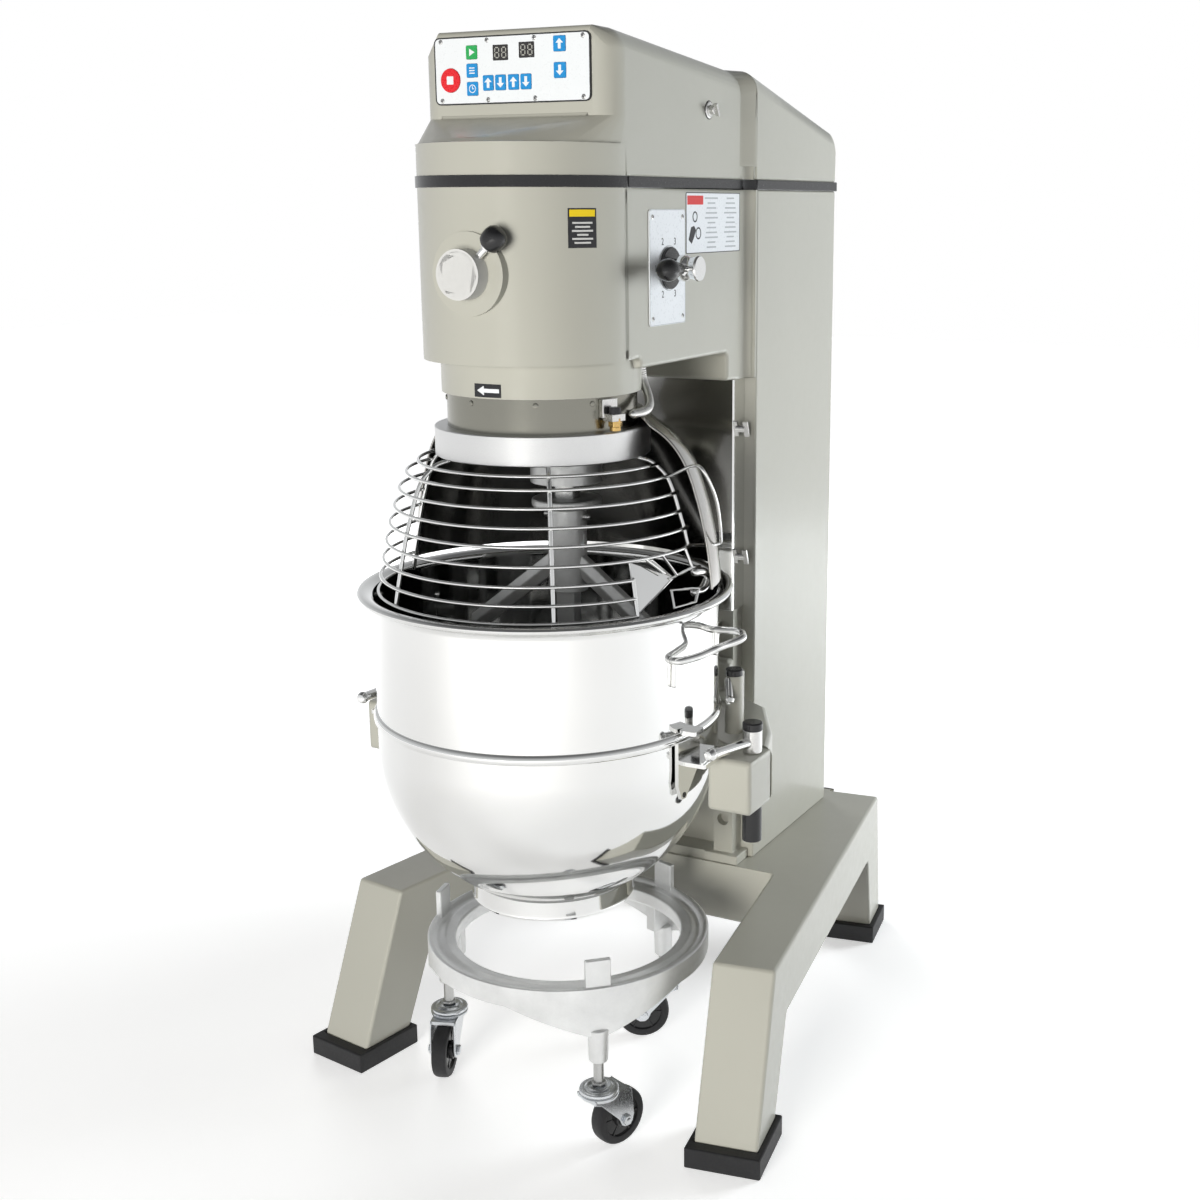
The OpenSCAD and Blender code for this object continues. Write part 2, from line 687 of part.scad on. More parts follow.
module bowl() color(steel) at_bowl() {
    inner = bowl_r - bowl_wall;
    rotate_extrude($fn = 96) polygon(concat(
        [[0, sphere_z - bowl_r]], bowl_arc(bowl_r, 6, 90, 6), [[bowl_r, rim_z - 22], [bowl_r + 3, rim_z - 14],
            [bowl_r + 12, rim_z - 10], [bowl_r + 19, rim_z - 10], [bowl_r + 21.5, rim_z - 6],
            [bowl_r + 21.5, rim_z - 2], [bowl_r + 18, rim_z], [bowl_r + 6, rim_z - 1], [inner, rim_z - 10]],
        [for (a = [90:-6:6]) [inner * sin(a), sphere_z - inner * cos(a)]], [[0, sphere_z - inner]]));
    rotate_extrude($fn = 96) translate([bowl_r - 3, 634]) circle(r = 4, $fn = 16);
    difference() {
        ring(124.7, 119, foot_z, 372);
        translate([0, 0, sphere_z]) sphere(r = bowl_r - 1);
    }
    rotate_extrude($fn = 96) translate([121, foot_z + 3]) circle(r = 4.5, $fn = 16);
    // ears that hang on the yoke's pins
    mirror_copy() {
        translate([bowl_r - 8, -84, 556]) cube([6.5, 94, 72]);
        translate([bowl_r - 6, -60, arm_high + 0.3]) cube([40, 84, 6]);
    }
}

module handle() {
    bent_bar([[249, -72, 751], [266, -68, 753], [285, -8, 757], [316, 8, 771], [314, 22, 772],
        [288, 58, 768], [250, 62, 764]], 6);
}

module bowl_handles() color(steel) at_bowl() mirror_copy() handle();

module clamp() {
    post(post_x, post_y, 14, arm_high + 0.5, 628);
    post(post_x, post_y, 10, arm_high - 30, arm_high + 1);
    post(post_x, post_y, 15, 628, 640);
    bar([post_x - 2, post_y - 10, 612], [306, -66, 618], 6);
    translate([306, -66, 618]) sphere(r = 9, $fn = 32);
}

module clamp_right() color(steel) at_bowl() clamp();
module clamp_left() color(steel) at_bowl() mirror([1, 0, 0]) clamp();

// ---------- bowl truck ----------

module at_truck() translate([truck_x, truck_y, 0]) children();

module truck_ring() color(cast_grey) at_bowl() at_truck() {
    rotate_extrude($fn = 128) polygon([[truck_r, truck_top - 36], [truck_r, truck_top], [truck_r - 14, truck_top],
        [truck_r - 14, truck_top - 6], [truck_r - 30, truck_top - 8], [truck_r - 44, truck_top - 6],
        [truck_r - 44, truck_top - 28], [truck_r - 36, truck_top - 28], [truck_r - 34, truck_top - 15],
        [truck_r - 10, truck_top - 14], [truck_r - 10, truck_top - 36]]);
    for (a = castor_angles) rotate(a) {
        intersection() {
            ring(truck_r - 1, truck_r - 9, 186, truck_top - 3);
            rotate([90, 0, 90]) linear_extrude(300)
                polygon([[-14, 190], [14, 190], [130, 236], [130, 262], [-130, 262], [-130, 236]]);
        }
        translate([truck_r - 13, -19, truck_top - 17]) cube([9, 38, 59]);
        translate([truck_r - 42, -11, 196]) cube([34, 22, 58]);
        post(castor_ring, 0, 15, 145, 200);
        post(castor_ring, 0, 8, 108, 146);
    }
}

// Places children at castor i: origin on the floor under its swivel axis, x towards its wheel.
module at_castor(i) at_bowl() at_truck() rotate(castor_angles[i]) translate([castor_ring, 0, 0])
    rotate(trail_angles[i] - castor_angles[i]) children();

module fork(i) color(steel) at_castor(i) {
    difference() {
        post(0, 0, 29, 93, 107.6);
        post(0, 0, 30, 98, 100);
    }
    post(0, 0, 22, 97, 101);
    difference() {
        union() {
            translate([-24, -21, 88]) cube([62, 42, 6]);
            for (s = [-1, 1]) translate([0, s * 19.5, 0]) rotate([90, 0, 0])
                linear_extrude(3, center = true) polygon([[-22, 94], [40, 94], [48, wheel_r],
                    [42, wheel_r - 11], [28, wheel_r - 11], [20, wheel_r]]);
        }
        translate([castor_trail, 0, wheel_r]) rotate([90, 0, 0]) cylinder(r = wheel_r + 4, h = 34, center = true);
    }
    translate([castor_trail, 0, wheel_r]) rotate([90, 0, 0]) cylinder(r = 5, h = 54, center = true);
}

module wheel(i) color(black) at_castor(i) translate([castor_trail, 0, wheel_r]) rotate([90, 0, 0]) difference() {
    union() {
        cylinder(r = wheel_r, h = 24, center = true);
        cylinder(r = 14, h = 34, center = true);
    }
    cylinder(r = 5.05, h = 60, center = true);
}

module fork_front() fork(0);
module fork_left() fork(1);
module fork_rear() fork(2);
module wheel_front() wheel(0);
module wheel_left() wheel(1);
module wheel_rear() wheel(2);

base_frame();
foot_pads();
column_housing();
gearcase();
hood_front();
hood_rear();
hood_gasket();
hood_latches();
console_plate();
timer_displays();
panel_screws();
stop_button();
start_button();
manual_button();
timer_button();
minutes_up();
minutes_down();
seconds_up();
seconds_down();
bowl_up();
bowl_down();
speed_plate();
speed_hub();
speed_lever();
hub_housing();
hub_cap();
hub_thumbscrew();
motor();
motor_rotor();
drive_belt();
input_shaft();
planetary_carrier();
internal_gear();
agitator_shaft();
beater();
steel_band();
guard_ring();
guard_cage();
guard_chute();
rear_shield();
guard_switch();
switch_conduit();
slide_ways();
splash_panel();
wing_nuts();
lift_motor();
lift_screw();
yoke();
bowl();
bowl_handles();
clamp_right();
clamp_left();
truck_ring();
fork_front();
fork_left();
fork_rear();
wheel_front();
wheel_left();
wheel_rear();
bearings();
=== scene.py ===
"""Looks of a floor-standing planetary mixer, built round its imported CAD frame.

Metres, +Z up, the front faces -Y. The bowl's axis stands at y = BOWL_Y.
"""

import json
import math

import bmesh
import bpy
from mathutils import Matrix, Vector


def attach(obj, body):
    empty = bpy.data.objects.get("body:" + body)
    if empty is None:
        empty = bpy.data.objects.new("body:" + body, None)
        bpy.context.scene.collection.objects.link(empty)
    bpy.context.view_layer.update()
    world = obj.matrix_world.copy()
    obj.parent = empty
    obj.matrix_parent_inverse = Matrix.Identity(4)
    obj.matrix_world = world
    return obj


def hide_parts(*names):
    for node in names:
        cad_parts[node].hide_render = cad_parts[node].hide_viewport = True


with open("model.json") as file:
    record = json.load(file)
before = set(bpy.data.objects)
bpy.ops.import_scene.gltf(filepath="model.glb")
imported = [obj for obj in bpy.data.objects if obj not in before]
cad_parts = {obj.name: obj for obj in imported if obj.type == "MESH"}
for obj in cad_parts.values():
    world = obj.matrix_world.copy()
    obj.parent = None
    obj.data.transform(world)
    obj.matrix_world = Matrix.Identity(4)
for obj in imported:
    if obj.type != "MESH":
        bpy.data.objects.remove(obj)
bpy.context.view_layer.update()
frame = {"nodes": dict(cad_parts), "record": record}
NODES = frame["nodes"]

MM = 0.001
BOWL_Y = -0.260
HEAD_R = 0.1565
DRUM_Y = BOWL_Y - 0.0206
HUB_Z = 1.283
CONSOLE_Y = BOWL_Y - 0.059
CONSOLE_Z = 1.553

# ---------------------------------------------------------------- camera and light


def make_camera():
    """The photograph's viewpoint: low and to the right of the front, with a mild tilt down."""
    data = bpy.data.cameras.new("camera")
    data.sensor_width = 36.0
    data.lens = 48.43
    data.shift_x = -0.0856
    data.shift_y = -0.0127
    camera = bpy.data.objects.new("camera", data)
    camera.location = (1.2570, -2.0025 + BOWL_Y, 1.3726)
    camera.rotation_euler = (math.pi / 2 - 0.2309, 0.0, 0.4617)
    bpy.context.scene.collection.objects.link(camera)
    bpy.context.scene.camera = camera


def area_light(name, place, target, size, power, colour=(1, 1, 1)):
    data = bpy.data.lights.new(name, "AREA")
    data.shape = "RECTANGLE"
    data.size, data.size_y = size
    data.energy = power
    data.color = colour
    light = bpy.data.objects.new(name, data)
    light.location = place
    light.rotation_euler = (Vector(target) - Vector(place)).to_track_quat("-Z", "Y").to_euler()
    bpy.context.scene.collection.objects.link(light)
    return light


def make_studio():
    """Soft light from all round the horizon, a large soft box in front and a cool one at the side."""
    bpy.context.scene.view_settings.view_transform = "Standard"
    world = bpy.data.worlds.new("studio")
    bpy.context.scene.world = world
    world.use_nodes = True
    tree = world.node_tree
    link = tree.links.new
    back = tree.nodes["Background"]
    split = tree.nodes.new("ShaderNodeSeparateXYZ")
    link(tree.nodes.new("ShaderNodeTexCoord").outputs["Generated"], split.inputs[0])
    fall = tree.nodes.new("ShaderNodeMapRange")
    for socket, value in (("From Min", 0.0), ("From Max", 0.8), ("To Min", 0.22), ("To Max", 0.03)):
        fall.inputs[socket].default_value = value
    link(split.outputs["Z"], fall.inputs["Value"])
    # polished metal sees brighter cards than the matt paint is lit by
    paths = tree.nodes.new("ShaderNodeLightPath")
    boost = tree.nodes.new("ShaderNodeMath")
    boost.operation = "MULTIPLY_ADD"
    boost.inputs[1].default_value = 3.3
    boost.inputs[2].default_value = 1.0
    link(paths.outputs["Is Glossy Ray"], boost.inputs[0])
    strength = tree.nodes.new("ShaderNodeMath")
    strength.operation = "MULTIPLY"
    link(fall.outputs["Result"], strength.inputs[0])
    link(boost.outputs[0], strength.inputs[1])
    link(strength.outputs[0], back.inputs["Strength"])
    back.inputs["Color"].default_value = (0.97, 0.985, 1.0, 1)
    white = tree.nodes.new("ShaderNodeBackground")
    white.inputs["Color"].default_value = (1, 1, 1, 1)
    white.inputs["Strength"].default_value = 1.0
    mix = tree.nodes.new("ShaderNodeMixShader")
    link(paths.outputs["Is Camera Ray"], mix.inputs[0])
    link(back.outputs[0], mix.inputs[1])
    link(white.outputs[0], mix.inputs[2])
    link(mix.outputs[0], tree.nodes["World Output"].inputs["Surface"])
    front = area_light("front", (0.5, -4.8, 1.1), (0, 0, 1.0), (1.6, 2.0), 225, (1, 0.985, 0.945))
    side = area_light("side", (2.96, 3.5, 1.2), (0, 0, 1.0), (1.8, 2.0), 250, (0.93, 0.97, 1.0))
    rear = area_light("rear", (-3.4, 3.2, 1.6), (0, 0, 1.0), (1.8, 2.0), 110)
    front.visible_glossy = side.visible_glossy = rear.visible_glossy = False


make_camera()
make_studio()

# ---------------------------------------------------------------- materials


class Shade:
    """A Principled material and short ways to add procedural detail to it."""

    def __init__(self, name, colour, rough, metal=0.0, **sockets):
        self.material = bpy.data.materials.new(name)
        self.material.use_nodes = True
        self.tree = self.material.node_tree
        self.shader = self.tree.nodes["Principled BSDF"]
        self.shader.inputs["Base Color"].default_value = (*colour, 1)
        self.shader.inputs["Roughness"].default_value = rough
        self.shader.inputs["Metallic"].default_value = metal
        for socket, value in sockets.items():
            self.shader.inputs[socket.replace("_", " ")].default_value = value
        self.place = self.tree.nodes.new("ShaderNodeTexCoord").outputs["Object"]

    def node(self, kind, **values):
        made = self.tree.nodes.new("ShaderNode" + kind)
        for key, value in values.items():
            if hasattr(made, key):
                setattr(made, key, value)
            else:
                made.inputs[key.replace("_", " ")].default_value = value
        return made

    def link(self, a, b):
        self.tree.links.new(a, b)

    def stretched(self, scale):
        mapping = self.node("Mapping")
        mapping.inputs["Scale"].default_value = scale
        self.link(self.place, mapping.inputs["Vector"])
        return mapping.outputs["Vector"]

    def noise(self, scale, detail=3.0, stretch=None, roughness=0.55):
        made = self.node("TexNoise", Scale=scale, Detail=detail, Roughness=roughness)
        self.link(self.stretched(stretch) if stretch else self.place, made.inputs["Vector"])
        return made.outputs["Fac"]

    def ramp(self, factor, stops):
        made = self.node("ValToRGB")
        made.color_ramp.elements[0].position, made.color_ramp.elements[1].position = (
            stops[0][0],
            stops[-1][0],
        )
        for _ in stops[1:-1]:
            made.color_ramp.elements.new(0.5)
        for element, (position, colour) in zip(made.color_ramp.elements, stops):
            element.position = position
            element.color = (*colour, 1) if len(colour) == 3 else colour
        self.link(factor, made.inputs["Fac"])
        return made.outputs["Color"]

    def colour_from(self, factor, stops):
        self.link(self.ramp(factor, stops), self.shader.inputs["Base Color"])
        return self

    def rough_from(self, factor, low, high, at=(0.3, 0.7)):
        made = self.node("MapRange", From_Min=at[0], From_Max=at[1], To_Min=low, To_Max=high)
        self.link(factor, made.inputs["Value"])
        self.link(made.outputs["Result"], self.shader.inputs["Roughness"])
        return self

    def bump_from(self, height, strength, distance):
        made = self.node("Bump", Strength=strength, Distance=distance)
        self.link(height, made.inputs["Height"])
        self.link(made.outputs["Normal"], self.shader.inputs["Normal"])
        return self


def tint(colour, factor):
    return tuple(min(1.0, c * factor) for c in colour)


def make_paint():
    warm = (0.44, 0.435, 0.38)
    shade = Shade("warm_grey_paint", warm, 0.33, 0.0, Coat_Weight=0.35, Coat_Roughness=0.16)
    cloud = shade.noise(3.0, 2.0)
    shade.colour_from(cloud, [(0.25, tint(warm, 0.96)), (0.75, tint(warm, 1.04))])
    shade.rough_from(shade.noise(60, 4.0), 0.29, 0.38)
    return shade.bump_from(shade.noise(900, 2.0), 0.10, 0.00006).material


def make_mirror():
    colour = (0.78, 0.78, 0.77)
    shade = Shade("polished_stainless", colour, 0.07, 1.0)
    shade.colour_from(shade.noise(4.0), [(0.3, tint(colour, 0.97)), (0.7, tint(colour, 1.02))])
    shade.rough_from(shade.noise(40, 5.0, stretch=(1, 1, 12)), 0.05, 0.10)
    return shade.material


def make_brushed(name, colour, rough, stretch, depth=0.00004):
    shade = Shade(name, colour, rough, 1.0)
    grain = shade.noise(320, 3.0, stretch=stretch)
    shade.colour_from(grain, [(0.3, tint(colour, 0.92)), (0.7, tint(colour, 1.06))])
    shade.rough_from(grain, rough - 0.06, rough + 0.08)
    return shade.bump_from(grain, 0.12, depth).material


def make_cast(name, colour, rough):
    shade = Shade(name, colour, rough, 0.85)
    grain = shade.noise(220, 6.0)
    shade.colour_from(shade.noise(18, 5.0), [(0.3, tint(colour, 0.90)), (0.7, tint(colour, 1.06))])
    shade.rough_from(grain, rough - 0.07, rough + 0.12)
    return shade.bump_from(grain, 0.35, 0.0005).material


def make_plain(name, colour, rough, metal=0.0, grain=300, spread=0.05, depth=0.00005, **sockets):
    shade = Shade(name, colour, rough, metal, **sockets)
    shade.colour_from(
        shade.noise(grain * 0.2), [(0.3, tint(colour, 1 - spread)), (0.7, tint(colour, 1 + spread))]
    )
    shade.rough_from(shade.noise(grain), max(rough - 0.05, 0.02), rough + 0.06)
    return shade.bump_from(shade.noise(grain * 3), 0.15, depth).material


PAINT = make_paint()
MIRROR = make_mirror()
SATIN = make_brushed("satin_stainless", (0.66, 0.655, 0.64), 0.24, (1, 1, 40))
BRUSHED_RING = make_brushed("brushed_aluminium", (0.72, 0.72, 0.715), 0.36, (1, 1, 30), 0.0001)
MACHINED = make_brushed("machined_steel", (0.55, 0.55, 0.54), 0.28, (1, 1, 20))
# painted reflection: the band's brushed steel colour is darkened to stand in for the dark reflections it shows
BAND = make_brushed("brushed_band_painted_dark_reflection", (0.26, 0.255, 0.22), 0.20, (1, 1, 40))
# painted reflection: the polished shield's steel colour is darkened to stand in for the dark reflections
# inside it
SHIELD = make_brushed("polished_shield_painted_dark_reflection", (0.42, 0.41, 0.39), 0.12, (1, 1, 6), 0.00001)
CAST = make_cast("cast_aluminium", (0.62, 0.625, 0.62), 0.44)
BRIGHT_CAST = make_cast("bright_cast_aluminium", (0.80, 0.805, 0.80), 0.40)
ZINC = make_brushed("zinc_plate", (0.70, 0.72, 0.74), 0.22, (6, 6, 1))
RUBBER = make_plain("black_rubber", (0.012, 0.012, 0.013), 0.55, spread=0.15, depth=0.0002)
# black plastic, also used as painted shade in the bowl ears' pin holes
BLACK_AND_HOLE_SHADE = make_plain("black_plastic", (0.010, 0.010, 0.011), 0.22, spread=0.15)
WHITE = make_plain("white_plate", (0.80, 0.825, 0.85), 0.30, spread=0.01, Coat_Weight=0.3)
CAP_GREY = make_plain("light_grey_plastic", (0.62, 0.62, 0.61), 0.42, spread=0.02)
RED = make_plain("red_key", (0.70, 0.012, 0.020), 0.28, spread=0.03)
GREEN = make_plain("green_key", (0.020, 0.36, 0.085), 0.28, spread=0.03)
BLUE = make_plain("blue_key", (0.010, 0.25, 0.60), 0.28, spread=0.03)
WINDOW = make_plain("display_window", (0.022, 0.020, 0.020), 0.10, spread=0.10)
SEGMENT = make_plain("display_segment", (0.42, 0.42, 0.38), 0.30, spread=0.05)
YELLOW = make_plain("yellow_print", (0.85, 0.62, 0.01), 0.40, spread=0.02)
RED_PRINT = make_plain("red_print", (0.62, 0.03, 0.03), 0.40, spread=0.02)
# black print, also used as painted shade in the screw heads' cross slots
INK = make_plain("black_ink_and_slot_shade", (0.010, 0.010, 0.012), 0.45, spread=0.05)
GREY_INK = make_plain("grey_ink", (0.42, 0.44, 0.46), 0.45, spread=0.05)
DARK_PAINT = make_plain("dark_motor_paint", (0.06, 0.07, 0.08), 0.40, spread=0.08)
BRASS = make_plain("brass", (0.62, 0.42, 0.16), 0.24, 1.0, spread=0.05)

NODE_MATERIAL = {
    "bowl": MIRROR, "rear_shield": MIRROR, "splash_panel": MIRROR, "steel_band": SATIN,
    "guard_cage": MIRROR, "guard_chute": MIRROR, "bowl_handles": MIRROR, "switch_conduit": SATIN,
    "panel_screws": MIRROR, "wing_nuts": SATIN, "clamp_right": MIRROR, "clamp_left": MIRROR,
    "hood_latches": MIRROR, "speed_lever": MIRROR, "motor_rotor": MACHINED, "input_shaft": MACHINED,
    "planetary_carrier": CAST, "internal_gear": MACHINED, "agitator_shaft": MACHINED,
    "bearings": MACHINED, "lift_screw": MACHINED, "guard_switch": MACHINED, "fork_front": ZINC,
    "fork_left": ZINC, "fork_rear": ZINC, "guard_ring": BRUSHED_RING, "truck_ring": BRIGHT_CAST,
    "beater": CAST, "foot_pads": RUBBER, "hood_gasket": BLACK_AND_HOLE_SHADE, "drive_belt": RUBBER,
    "console_plate": WHITE, "speed_plate": WHITE, "timer_displays": WINDOW, "speed_hub": BLACK_AND_HOLE_SHADE,
    "hub_thumbscrew": BLACK_AND_HOLE_SHADE, "wheel_front": RUBBER, "wheel_left": RUBBER, "wheel_rear": RUBBER,
    "hub_cap": CAP_GREY, "stop_button": RED, "start_button": GREEN, "motor": DARK_PAINT,
    "lift_motor": DARK_PAINT,
}  # fmt: skip
for key_name in (
    "manual_button timer_button minutes_up minutes_down seconds_up seconds_down bowl_up bowl_down"
).split():
    NODE_MATERIAL[key_name] = BLUE
for node_name, node_object in NODES.items():
    node_object.data.materials.clear()
    node_object.data.materials.append(NODE_MATERIAL.get(node_name, PAINT))

# ---------------------------------------------------------------- mesh tools

BODY_OF = {n: b for b, names in frame["record"]["behaviour"]["bodies"].items() for n in names}


def at(x, y, z):
    """A point in millimetres about the bowl's axis, as scene metres."""
    return Vector((x * MM, y * MM + BOWL_Y, z * MM))


def polar(radius, azimuth, z):
    """A point at a radius from the bowl's axis; azimuth 0 is the front and 90 is +X, in degrees."""
    a = math.radians(azimuth)
    return at(radius * math.sin(a), -radius * math.cos(a), z)


def facing(origin, forward, up=(0, 0, 1)):
    """A matrix at origin whose local Z points forward and whose local Y points as far up as it can."""
    z = Vector(forward).normalized()
    x = Vector(up).cross(z).normalized()
    y = z.cross(x)
    m = Matrix((x, y, z)).transposed().to_4x4()
    m.translation = origin
    return m


def rounded_rect(w, h, r, n=5):
    points = []
    for cx, cy, start in ((1, 1, 0), (-1, 1, 90), (-1, -1, 180), (1, -1, 270)):
        for i in range(n + 1):
            a = math.radians(start + 90 * i / n)
            points.append((cx * (w / 2 - r) + r * math.cos(a), cy * (h / 2 - r) + r * math.sin(a)))
    return points


def circle(r, n=48):
    return [(r * math.cos(2 * math.pi * i / n), r * math.sin(2 * math.pi * i / n)) for i in range(n)]


def spline(points, steps):
    """Catmull-Rom through the points."""
    p = [Vector(q) for q in points]
    p = [p[0] * 2 - p[1]] + p + [p[-1] * 2 - p[-2]]
    out = []
    for i in range(1, len(p) - 2):
        for s in range(steps):
            t = s / steps
            a, b, c, d = p[i - 1], p[i], p[i + 1], p[i + 2]
            out.append(
                0.5 * (2 * b + (c - a) * t + (2 * a - 5 * b + 4 * c - d) * t * t
                       + (3 * b - a - 3 * c + d) * t ** 3)
            )  # fmt: skip
    return out + [p[-2]]


class Build:
    """Gathers faces from several simple forms into one piece. Lengths are in millimetres."""

    def __init__(self):
        self.verts, self.faces, self.slots, self.mats, self.current = [], [], [], [], 0

    def use(self, material):
        if material not in self.mats:
            self.mats.append(material)
        self.current = self.mats.index(material)
        return self

    def add(self, verts, faces):
        base = len(self.verts)
        self.verts += [tuple(v) for v in verts]
        self.faces += [tuple(base + i for i in f) for f in faces]
        self.slots += [self.current] * len(faces)
        return self

    def prism(self, outline, low, high, place, taper=1.0):
        n = len(outline)
        verts = [place @ Vector((x * MM, y * MM, low * MM)) for x, y in outline]
        verts += [place @ Vector((x * taper * MM, y * taper * MM, high * MM)) for x, y in outline]
        faces = [tuple(range(n))[::-1], tuple(range(n, 2 * n))]
        faces += [(i, (i + 1) % n, n + (i + 1) % n, n + i) for i in range(n)]
        return self.add(verts, faces)

    def lathe(self, profile, place, n=64, start=0.0, sweep=360.0, closed=False):
        """Turns (r, z) points, or a function of the angle that gives them, about local Z.

        A closed profile makes a solid ring or arc.
        """
        full = sweep >= 359.9
        turns = n if full else n + 1
        # a flat end at the axis becomes one face
        first_cap = last_cap = False
        if not callable(profile) and full:
            first_cap = profile[0][0] < 0.02 and abs(profile[0][1] - profile[1][1]) < 0.6
            last_cap = profile[-1][0] < 0.02 and abs(profile[-1][1] - profile[-2][1]) < 0.6
            profile = profile[first_cap:len(profile) - last_cap]
        verts = []
        for i in range(turns):
            degrees = start + sweep * i / n
            a = math.radians(degrees)
            section = profile(degrees) if callable(profile) else profile
            for r, z in section:
                verts.append(place @ Vector((r * MM * math.cos(a), r * MM * math.sin(a), z * MM)))
        m = len(section)
        faces = []
        for i in range(n):
            j = (i + 1) % turns
            for k in range(m if closed else m - 1):
                q = (k + 1) % m
                faces.append((i * m + k, j * m + k, j * m + q, i * m + q))
        if closed and not full:
            faces.append(tuple(range(m))[::-1])
            faces.append(tuple((turns - 1) * m + k for k in range(m)))
        if first_cap:
            faces.append(tuple(i * m for i in range(turns))[::-1])
        if last_cap:
            faces.append(tuple(i * m + m - 1 for i in range(turns)))
        return self.add(verts, faces)

    def tube(self, points, r, n=12, steps=8, closed=False, smooth=True):
        """A round bar along scene-metre points, with domed ends."""
        path = spline(points, steps) if smooth and len(points) > 2 else [Vector(p) for p in points]
        count = len(path)
        tangents = [
            (path[(i + 1) % count if closed else min(i + 1, count - 1)]
             - path[(i - 1) % count if closed else max(i - 1, 0)]).normalized()
            for i in range(count)
        ]  # fmt: skip
        side = tangents[0].orthogonal().normalized()
        rings = []
        for i in range(count):
            side = (side - tangents[i] * side.dot(tangents[i])).normalized()
            rings.append((path[i], side.copy(), tangents[i].cross(side), r))
        if not closed:
            for end, direction in ((0, -1), (-1, 1)):
                p, s, t, _ = rings[end]
                tangent = tangents[end] * direction
                domes = [
                    (p + tangent * (r * MM * math.sin(a)), s, t, r * math.cos(a))
                    for a in (0.55, 1.05, 1.45)
                ]
                rings = domes[::-1] + rings if end == 0 else rings + domes
        verts = []
        for p, s, t, rad in rings:
            for k in range(n):
                a = 2 * math.pi * k / n
                verts.append(p + (s * math.cos(a) + t * math.sin(a)) * rad * MM)
        total = len(rings)
        faces = []
        for i in range(total if closed else total - 1):
            j = (i + 1) % total
            for k in range(n):
                q = (k + 1) % n
                faces.append((i * n + k, i * n + q, j * n + q, j * n + k))
        if not closed:
            faces.append(tuple(range(n))[::-1])
            faces.append(tuple((total - 1) * n + k for k in range(n)))
        return self.add(verts, faces)

    def done(self, name, body, slot, replaces=(), bevel=0.0, sharp=35, segments=2):
        mesh = bpy.data.meshes.new(name)
        mesh.from_pydata(self.verts, [], self.faces)
        for m in self.mats:
            mesh.materials.append(m)
        mesh.polygons.foreach_set("material_index", self.slots)
        return finish_piece(mesh, name, body, replaces, bevel, sharp, segments)


def finish_piece(mesh, name, body, replaces=(), bevel=0.0, sharp=35, segments=2, long=0.0):
    """Welds, rounds the hard edges, sets smooth shading and hangs the piece on its body."""
    bm = bmesh.new()
    bm.from_mesh(mesh)
    bmesh.ops.remove_doubles(bm, verts=bm.verts, dist=2.1e-5)
    bmesh.ops.dissolve_degenerate(bm, dist=1e-6, edges=bm.edges)
    if long:
        bmesh.ops.dissolve_limit(
            bm, angle_limit=math.radians(0.3), verts=bm.verts, edges=bm.edges
        )
    bmesh.ops.recalc_face_normals(bm, faces=bm.faces)
    weight = bm.edges.layers.float.new("bevel_weight_edge")
    limit = math.radians(sharp)
    for face in bm.faces:
        face.smooth = True
    for edge in bm.edges:
        hard = len(edge.link_faces) != 2 or edge.calc_face_angle(0) > limit
        edge.smooth = not hard
        edge[weight] = 1.0 if hard and edge.calc_length() > long else 0.0
    bm.to_mesh(mesh)
    bm.free()
    rough = bpy.data.objects.new(name + "_rough", mesh)
    bpy.context.scene.collection.objects.link(rough)
    if bevel:
        rounding = rough.modifiers.new("rounding", "BEVEL")
        rounding.width = bevel * MM
        rounding.segments = segments
        rounding.limit_method = "WEIGHT"
        rounding.use_clamp_overlap = not long
        rounding.harden_normals = False
        rounding.miter_outer = "MITER_ARC"
    normals = rough.modifiers.new("normals", "WEIGHTED_NORMAL")
    normals.keep_sharp = True
    graph = bpy.context.evaluated_depsgraph_get()
    made = bpy.data.meshes.new_from_object(rough.evaluated_get(graph), depsgraph=graph)
    made.name = name
    bpy.data.objects.remove(rough)
    piece = bpy.data.objects.new(name, made)
    bpy.context.scene.collection.objects.link(piece)
    if replaces:
        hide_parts(*replaces)
    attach(piece, body)
    return piece


def rounded_node(node, bevel, long=12.0, sharp=30, segments=3):
    """The CAD node again, with its long hard edges rounded the way its paint or casting is."""
    mesh = NODES[node].data.copy()
    mesh.name = node + "_finished"
    return finish_piece(
        mesh, node + "_finished", BODY_OF[node], [node], bevel, sharp, segments,
        long * MM,
    )  # fmt: skip


UP = Matrix.Translation(at(0, 0, 0))

# ---------------------------------------------------------------- castings and sheet metal

for node_name, width in {
    "base_frame": 5, "column_housing": 3, "gearcase": 6, "hood_rear": 3, "yoke": 7,
    "slide_ways": 2, "foot_pads": 2.5, "splash_panel": 0.6, "hub_housing": 3, "hub_cap": 1.5,
    "hood_gasket": 1.5, "hood_front": 4,
}.items():  # fmt: skip
    rounded_node(node_name, width)


# ---------------------------------------------------------------- guard

HOOPS = [(182.5, 1013), (200, 997), (211, 973.5), (219, 948), (226.5, 923.5), (232.5, 897.5),
         (238, 871), (243, 846), (247.5, 822)]  # fmt: skip
STAYS = (-90, -29, 34, 95)
GUARD_END = 96
CHUTE_START = 62


